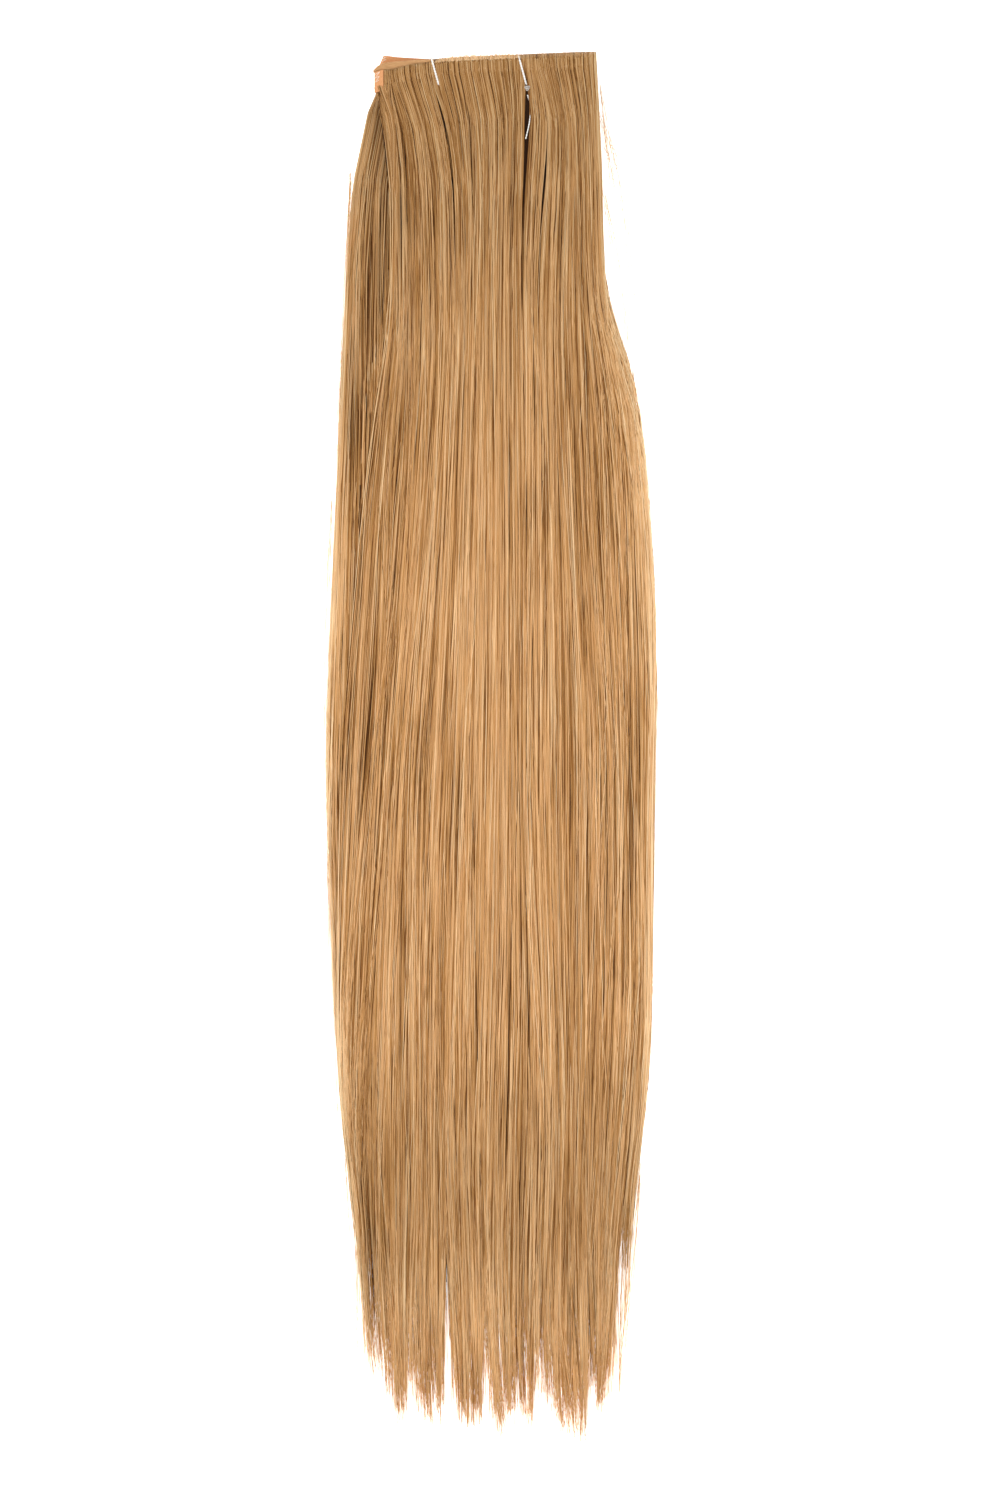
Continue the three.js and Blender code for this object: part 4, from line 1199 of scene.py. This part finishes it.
def rolled_edge():
    """The edge of the ribbon's upper half, rolled over the track, from the open end to the left tie."""
    xs = np.linspace(ROLL_COLUMNS[0], ROLL_COLUMNS[-1], ROLL_STEPS)
    tops = TOP - down_to(np.interp(xs, ROLL_COLUMNS, [place["top"] for place in ROLL]))
    bottoms = TOP - down_to(np.interp(xs, ROLL_COLUMNS, [place["bottom"] for place in ROLL]))
    low = hit(RIBBON_TREE, (xs[-1], upper_edge(xs[-1]) - 1 * MM, STACK_MIDDLE), (0, 0, 1)).z
    high = track_high.z + ROLL_PROUD
    middle, half = (high + low) / 2, (high - low) / 2
    angles = 2 * math.pi * np.arange(ROLL_SIDES) / ROLL_SIDES
    across, upward = rounded_power(np.cos(angles)), rounded_power(np.sin(angles))
    y = (tops + bottoms)[:, None] / 2 + (tops - bottoms)[:, None] / 2 * across
    z = np.broadcast_to(middle + half * upward, y.shape)
    rings = np.stack([np.broadcast_to(xs[:, None], y.shape), y, z], axis=-1)
    k = np.arange(ROLL_SIDES)
    here = (np.arange(ROLL_STEPS - 1) * ROLL_SIDES)[:, None]
    a, b = here + k, here + (k + 1) % ROLL_SIDES
    walls = np.stack([a, b, b + ROLL_SIDES, a + ROLL_SIDES], axis=-1).reshape(-1)
    caps = np.concatenate([k[::-1], k + (ROLL_STEPS - 1) * ROLL_SIDES])
    sizes = np.array([4] * (len(walls) // 4) + [ROLL_SIDES, ROLL_SIDES])
    corners = np.concatenate([walls, caps])
    mesh_object("ribbon_rolled_edge", rings.reshape(-1, 3), corners, sizes, BINDING)


# Hair that comes out under the hem at the open end: the columns of its left and right side on its rows
HEM_HAIR = [
    {"row": 86.5, "left": 374.0, "right": 385.0},
    {"row": 90, "left": 374.6, "right": 386.0},
    {"row": 100, "left": 378.4, "right": 389.5},
    {"row": 116, "left": 386.0, "right": 394.0},
    {"row": 137, "left": 390.0, "right": 396.5},
    {"row": 171, "left": 390.0, "right": 396.0},
    {"row": 219, "left": 390.5, "right": 395.5},
]
HEM_HAIR_COUNT = 170
HEM_HAIR_STEPS = 16
HEM_STEP_POWER = 1.6  # its points lie closer together near the hem
HEM_UNEVEN = (-0.5, 0.8)  # by how many rows its hairs are shifted
HEM_LIFTS = (-0.1, 0.35)  # how many millimetres they lie above the surface
HEM_ROOT_SINK = 0.8 * MM
HEM_TIP_SINKS = (0.2, 0.5, 1.0)  # how many millimetres the last points dip in
HEM_RADIUS = 0.13 * MM
HEM_TONE = 0.6
HEM_TONE_SPREAD = 0.13
HEM_ALONG = 0.12


def surface_height(x, y):
    """The highest point of the hair and the ribbon over a place."""
    hits = [hit(tree, (x, y, OUTSIDE), (0, 0, -1)) for tree in SURFACE_TREES]
    return max((place.z for place in hits if place is not None), default=0.0)


def hem_hairs():
    count = HEM_HAIR_COUNT
    rows, lefts, rights = (np.array([place[key] for place in HEM_HAIR]) for key in ("row", "left", "right"))
    row = np.interp(np.linspace(0, 1, HEM_HAIR_STEPS) ** HEM_STEP_POWER, [0, 1], [rows[0], rows[-1]])
    share = rng.uniform(0, 1, (count, 1))
    row = row + rng.uniform(*HEM_UNEVEN, (count, 1))
    left, right = np.interp(row, rows, lefts), np.interp(row, rows, rights)
    x = at_column(left + (right - left) * share)
    y = TOP - down_to(row)
    z = np.array([surface_height(*place) for place in zip(x.ravel(), y.ravel())]).reshape(x.shape)
    z = smoothed(z, 1.0, 1) + rng.uniform(*HEM_LIFTS, (count, 1)) * MM
    z[:, 0] -= HEM_ROOT_SINK
    z[:, -3:] -= np.array(HEM_TIP_SINKS) * MM
    tones = rng.normal(HEM_TONE, HEM_TONE_SPREAD, count)
    paths = np.stack([x, y, z], axis=-1)
    loose_hairs("hem_hairs", paths, HEM_RADIUS, tones, np.full(count, HEM_ALONG))


# Zigzags of sewing thread on the ribbon, as points of (column, row) in the photo
STITCHES = [
    [(374.6, 76.5), (380.2, 73.6), (374.8, 80.2), (380.0, 77.6), (375.4, 84.2), (379.4, 81.8)],
    [(381.4, 66.2), (382.2, 63.8), (380.6, 64.4)],
    [(382.0, 61.4), (386.0, 59.6), (382.4, 58.2), (386.2, 57.2)],
]
STITCH_RADIUS = 0.15 * MM
STITCH_LIFT = 0.05 * MM
STITCH_STEPS = 28


def lengths_along(points):
    """How far along a line of points each of them lies."""
    return np.concatenate([[0], np.cumsum(np.linalg.norm(np.diff(points, axis=0), axis=1))])


def stitches():
    paths = []
    for points in STITCHES:
        points = np.array(points, float)
        length = lengths_along(points)
        at = np.linspace(0, length[-1], STITCH_STEPS)
        x = at_column(np.interp(at, length, points[:, 0]))
        y = TOP - down_to(np.interp(at, length, points[:, 1]))
        hits = [hit(RIBBON_TREE, (*place, OUTSIDE), (0, 0, -1)) for place in zip(x, y)]
        z = filled(np.array([place.z if place is not None else np.nan for place in hits]))
        paths.append(np.stack([x, y, z + STITCH_LIFT], axis=-1))
    radii = np.full((len(paths), STITCH_STEPS), STITCH_RADIUS)
    tubes("ribbon_stitches", np.array(paths), radii, STITCH, sides=6)


THREAD_RADIUS = 0.45 * MM
PLY_RADIUS = 0.25 * MM
PLY_OFFSET = 0.21 * MM
TWIST_PITCH = 2.4 * MM
PLY_STEPS_PER_TURN = 10


def rounded(points, rounds):
    """A line with its corners cut again and again."""
    for _ in range(rounds):
        here, after = points[:-1], points[1:]
        cut = np.stack([0.75 * here + 0.25 * after, 0.25 * here + 0.75 * after], axis=1)
        points = np.concatenate([points[:1], cut.reshape(-1, 3), points[-1:]])
    return points


def resampled(points, spacing):
    """A line with evenly spaced points, and how far along it each of them lies."""
    length = lengths_along(points)
    at = np.linspace(0, length[-1], max(8, int(length[-1] / spacing)))
    return np.stack([np.interp(at, length, points[:, axis]) for axis in range(3)], axis=-1), at


def twisted_thread(name, points, normal, material, scale=1.0):
    """Two plies wound round each other along a line that lies nearly in a plane with this normal."""
    line, at = resampled(points, TWIST_PITCH / PLY_STEPS_PER_TURN)
    along = np.gradient(line, axis=0)
    along /= np.linalg.norm(along, axis=1, keepdims=True)
    side = np.cross(np.array(normal, float), along)
    side /= np.linalg.norm(side, axis=1, keepdims=True)
    up = np.cross(along, side)
    paths = []
    for phase in (0, math.pi):
        turn = (2 * math.pi * at / TWIST_PITCH + phase)[:, None]
        paths.append(line + scale * PLY_OFFSET * (np.cos(turn) * side + np.sin(turn) * up))
    paths = np.array(paths)
    return tubes(name, paths, np.full(paths.shape[:2], scale * PLY_RADIUS), material, sides=6)


def tie_frame():
    """Where both ties run: their slant, and the heights and low end that they share."""
    low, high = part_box("tie_thread_left")
    slant = (high.x - low.x - 2 * THREAD_RADIUS) / (high.y - low.y - 2 * THREAD_RADIUS)
    return slant, low.y + THREAD_RADIUS, low.z + THREAD_RADIUS, high.z - THREAD_RADIUS


def tie_corners(node):
    """The corners of a tie: under the lower half, over its top edge, over the upper half's, down again."""
    slant, low_y, low_z, high_z = tie_frame()
    low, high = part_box(node)
    top_x, top_y = low.x + THREAD_RADIUS, high.y - THREAD_RADIUS
    front_y = upper_edge(top_x) + THREAD_RADIUS
    places = [
        (low_y, low_z),
        (top_y, low_z),
        (top_y, (low_z + high_z) / 2),
        (min(front_y, top_y), high_z),
        (low_y, high_z),
    ]
    return np.array([(top_x + slant * (top_y - y), y, z) for y, z in places])


KNOT_SIZE = 0.36 * MM
KNOT_RADIUS = 0.28 * MM
KNOT_LIFT = 0.2 * MM
KNOT_STEPS = 48
TIE_ROUNDS = 3  # how often the corners of the ties and of the tail are cut
TAIL_ROUNDS = 2
TAIL_SCALE = 0.65  # the tail's thickness, as a share of the tie's
# The loose end of the right tie, from the knot down: the photo's columns and rows, and how far it lies above
# the surface of the hair
TAIL = [
    {"column": 527.5, "row": 94, "above": 0.3 * MM},
    {"column": 529.0, "row": 99, "above": -0.5 * MM},
    {"column": 530.5, "row": 106, "above": -0.7 * MM},
    {"column": 530.5, "row": 113, "above": -0.2 * MM},
    {"column": 529.0, "row": 124, "above": 0.35 * MM},
    {"column": 525.6, "row": 138, "above": 0.4 * MM},
]


def knot_line():
    """A trefoil, as a closed line about 6 across."""
    turn = np.linspace(0, 2 * math.pi, KNOT_STEPS)
    x = np.sin(turn) + 2 * np.sin(2 * turn)
    y = np.cos(turn) - 2 * np.cos(2 * turn)
    return np.stack([x, y, -np.sin(3 * turn)], axis=-1)


def tie_threads():
    slant = tie_frame()[0]
    for node in ("tie_thread_left", "tie_thread_right"):
        corners = tie_corners(node)
        start = (corners[0] + corners[1]) / 2
        line = rounded(np.concatenate([[start], corners[1:], corners[:1], [start]]), TIE_ROUNDS)
        thing = twisted_thread(f"{node}_plies", line, (1, slant, 0), THREAD)
        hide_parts(node)
    place = tie_corners("tie_thread_right")[-1] + [0, 0, KNOT_LIFT]
    knot = (place + KNOT_SIZE * knot_line())[None]
    tubes("tie_knot", knot, np.full((1, KNOT_STEPS), KNOT_RADIUS), KNOT, sides=6)
    columns, rows, above = (np.array([point[key] for point in TAIL]) for key in ("column", "row", "above"))
    tail = front_point(at_column(columns), down_to(rows), 1.0)
    tail[:, 2] += above
    twisted_thread("tie_tail", rounded(tail, TAIL_ROUNDS), (0, 0, 1), THREAD, scale=TAIL_SCALE)


rolled_edge()
hem_hairs()
stitches()
tie_threads()


# Finishes of the CAD nodes that stay


def finish_node(node, material):
    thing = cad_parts[node]
    thing.data.materials.clear()
    thing.data.materials.append(material)


finish_node("weft_ribbon", RIBBON)
finish_node("weft_track", TRACK)
for half in ("front", "back"):
    for place in ("left", "right"):
        finish_node(f"{half}_clip_{place}", CLIP)


# Table, light and camera

CAMERA_HEIGHT = 3.5
HAIR_LEVEL = 5 * MM  # the height at which PIXEL holds
SENSOR = 36.0  # millimetres, along the picture's long side
FLOOR_GAP = 0.2 * MM
FLOOR_HALF = 6.0
FLOOR_COLOUR = (0.93, 0.93, 0.925, 1.0)
FLOOR_GLOW = 1.0  # the table is lit from within, so that nothing casts a dark shadow
GLOW_COLOUR = (1.0, 1.0, 0.99, 1.0)
WORLD_STRENGTH = 0.75
# Square lights that face the part: where they stand and how wide they are, in metres, and their power
LIGHTS = [
    {"name": "key", "place": (-0.5, 0.3, 1.8), "size": 1.6, "power": 18},
    {"name": "fill", "place": (0.7, -0.4, 1.6), "size": 1.4, "power": 12},
]
CAMERA_FAR = 20


def add_floor():
    mesh = bpy.data.meshes.new("floor")
    signs = [(-1, -1), (1, -1), (1, 1), (-1, 1)]
    corners = [(x * FLOOR_HALF, y * FLOOR_HALF, -FLOOR_GAP) for x, y in signs]
    mesh.from_pydata(corners, [], [(0, 1, 2, 3)])
    floor = bpy.data.objects.new("floor", mesh)
    bpy.context.scene.collection.objects.link(floor)
    material, _, shader = new_material("floor", roughness=0.9, specular=0.1)
    shader.inputs["Base Color"].default_value = FLOOR_COLOUR
    shader.inputs["Emission Color"].default_value = GLOW_COLOUR
    shader.inputs["Emission Strength"].default_value = FLOOR_GLOW
    mesh.materials.append(material)


def add_light(name, place, size, power):
    light = bpy.data.lights.new(name, "AREA")
    light.shape = "SQUARE"
    light.size = size
    light.energy = power
    thing = bpy.data.objects.new(name, light)
    thing.location = place
    thing.rotation_euler = (-Vector(place)).to_track_quat("-Z", "Y").to_euler()
    bpy.context.scene.collection.objects.link(thing)


def add_world():
    world = bpy.data.worlds.new("studio")
    world.use_nodes = True
    background = world.node_tree.nodes["Background"]
    background.inputs["Color"].default_value = (1.0, 1.0, 1.0, 1.0)
    background.inputs["Strength"].default_value = WORLD_STRENGTH
    bpy.context.scene.world = world


def add_camera():
    camera = bpy.data.cameras.new("camera")
    camera.sensor_width = SENSOR
    camera.lens = SENSOR * (CAMERA_HEIGHT - HAIR_LEVEL) / (PHOTO_HEIGHT * PIXEL)
    camera.clip_end = CAMERA_FAR
    thing = bpy.data.objects.new("camera", camera)
    x = float(at_column(PHOTO_WIDTH / 2))
    y = TOP - float(down_to(PHOTO_HEIGHT / 2))
    thing.location = (x, y, CAMERA_HEIGHT)
    bpy.context.scene.collection.objects.link(thing)
    bpy.context.scene.camera = thing


add_floor()
add_world()
for light in LIGHTS:
    add_light(**light)
add_camera()
bpy.context.scene.view_settings.view_transform = "Standard"
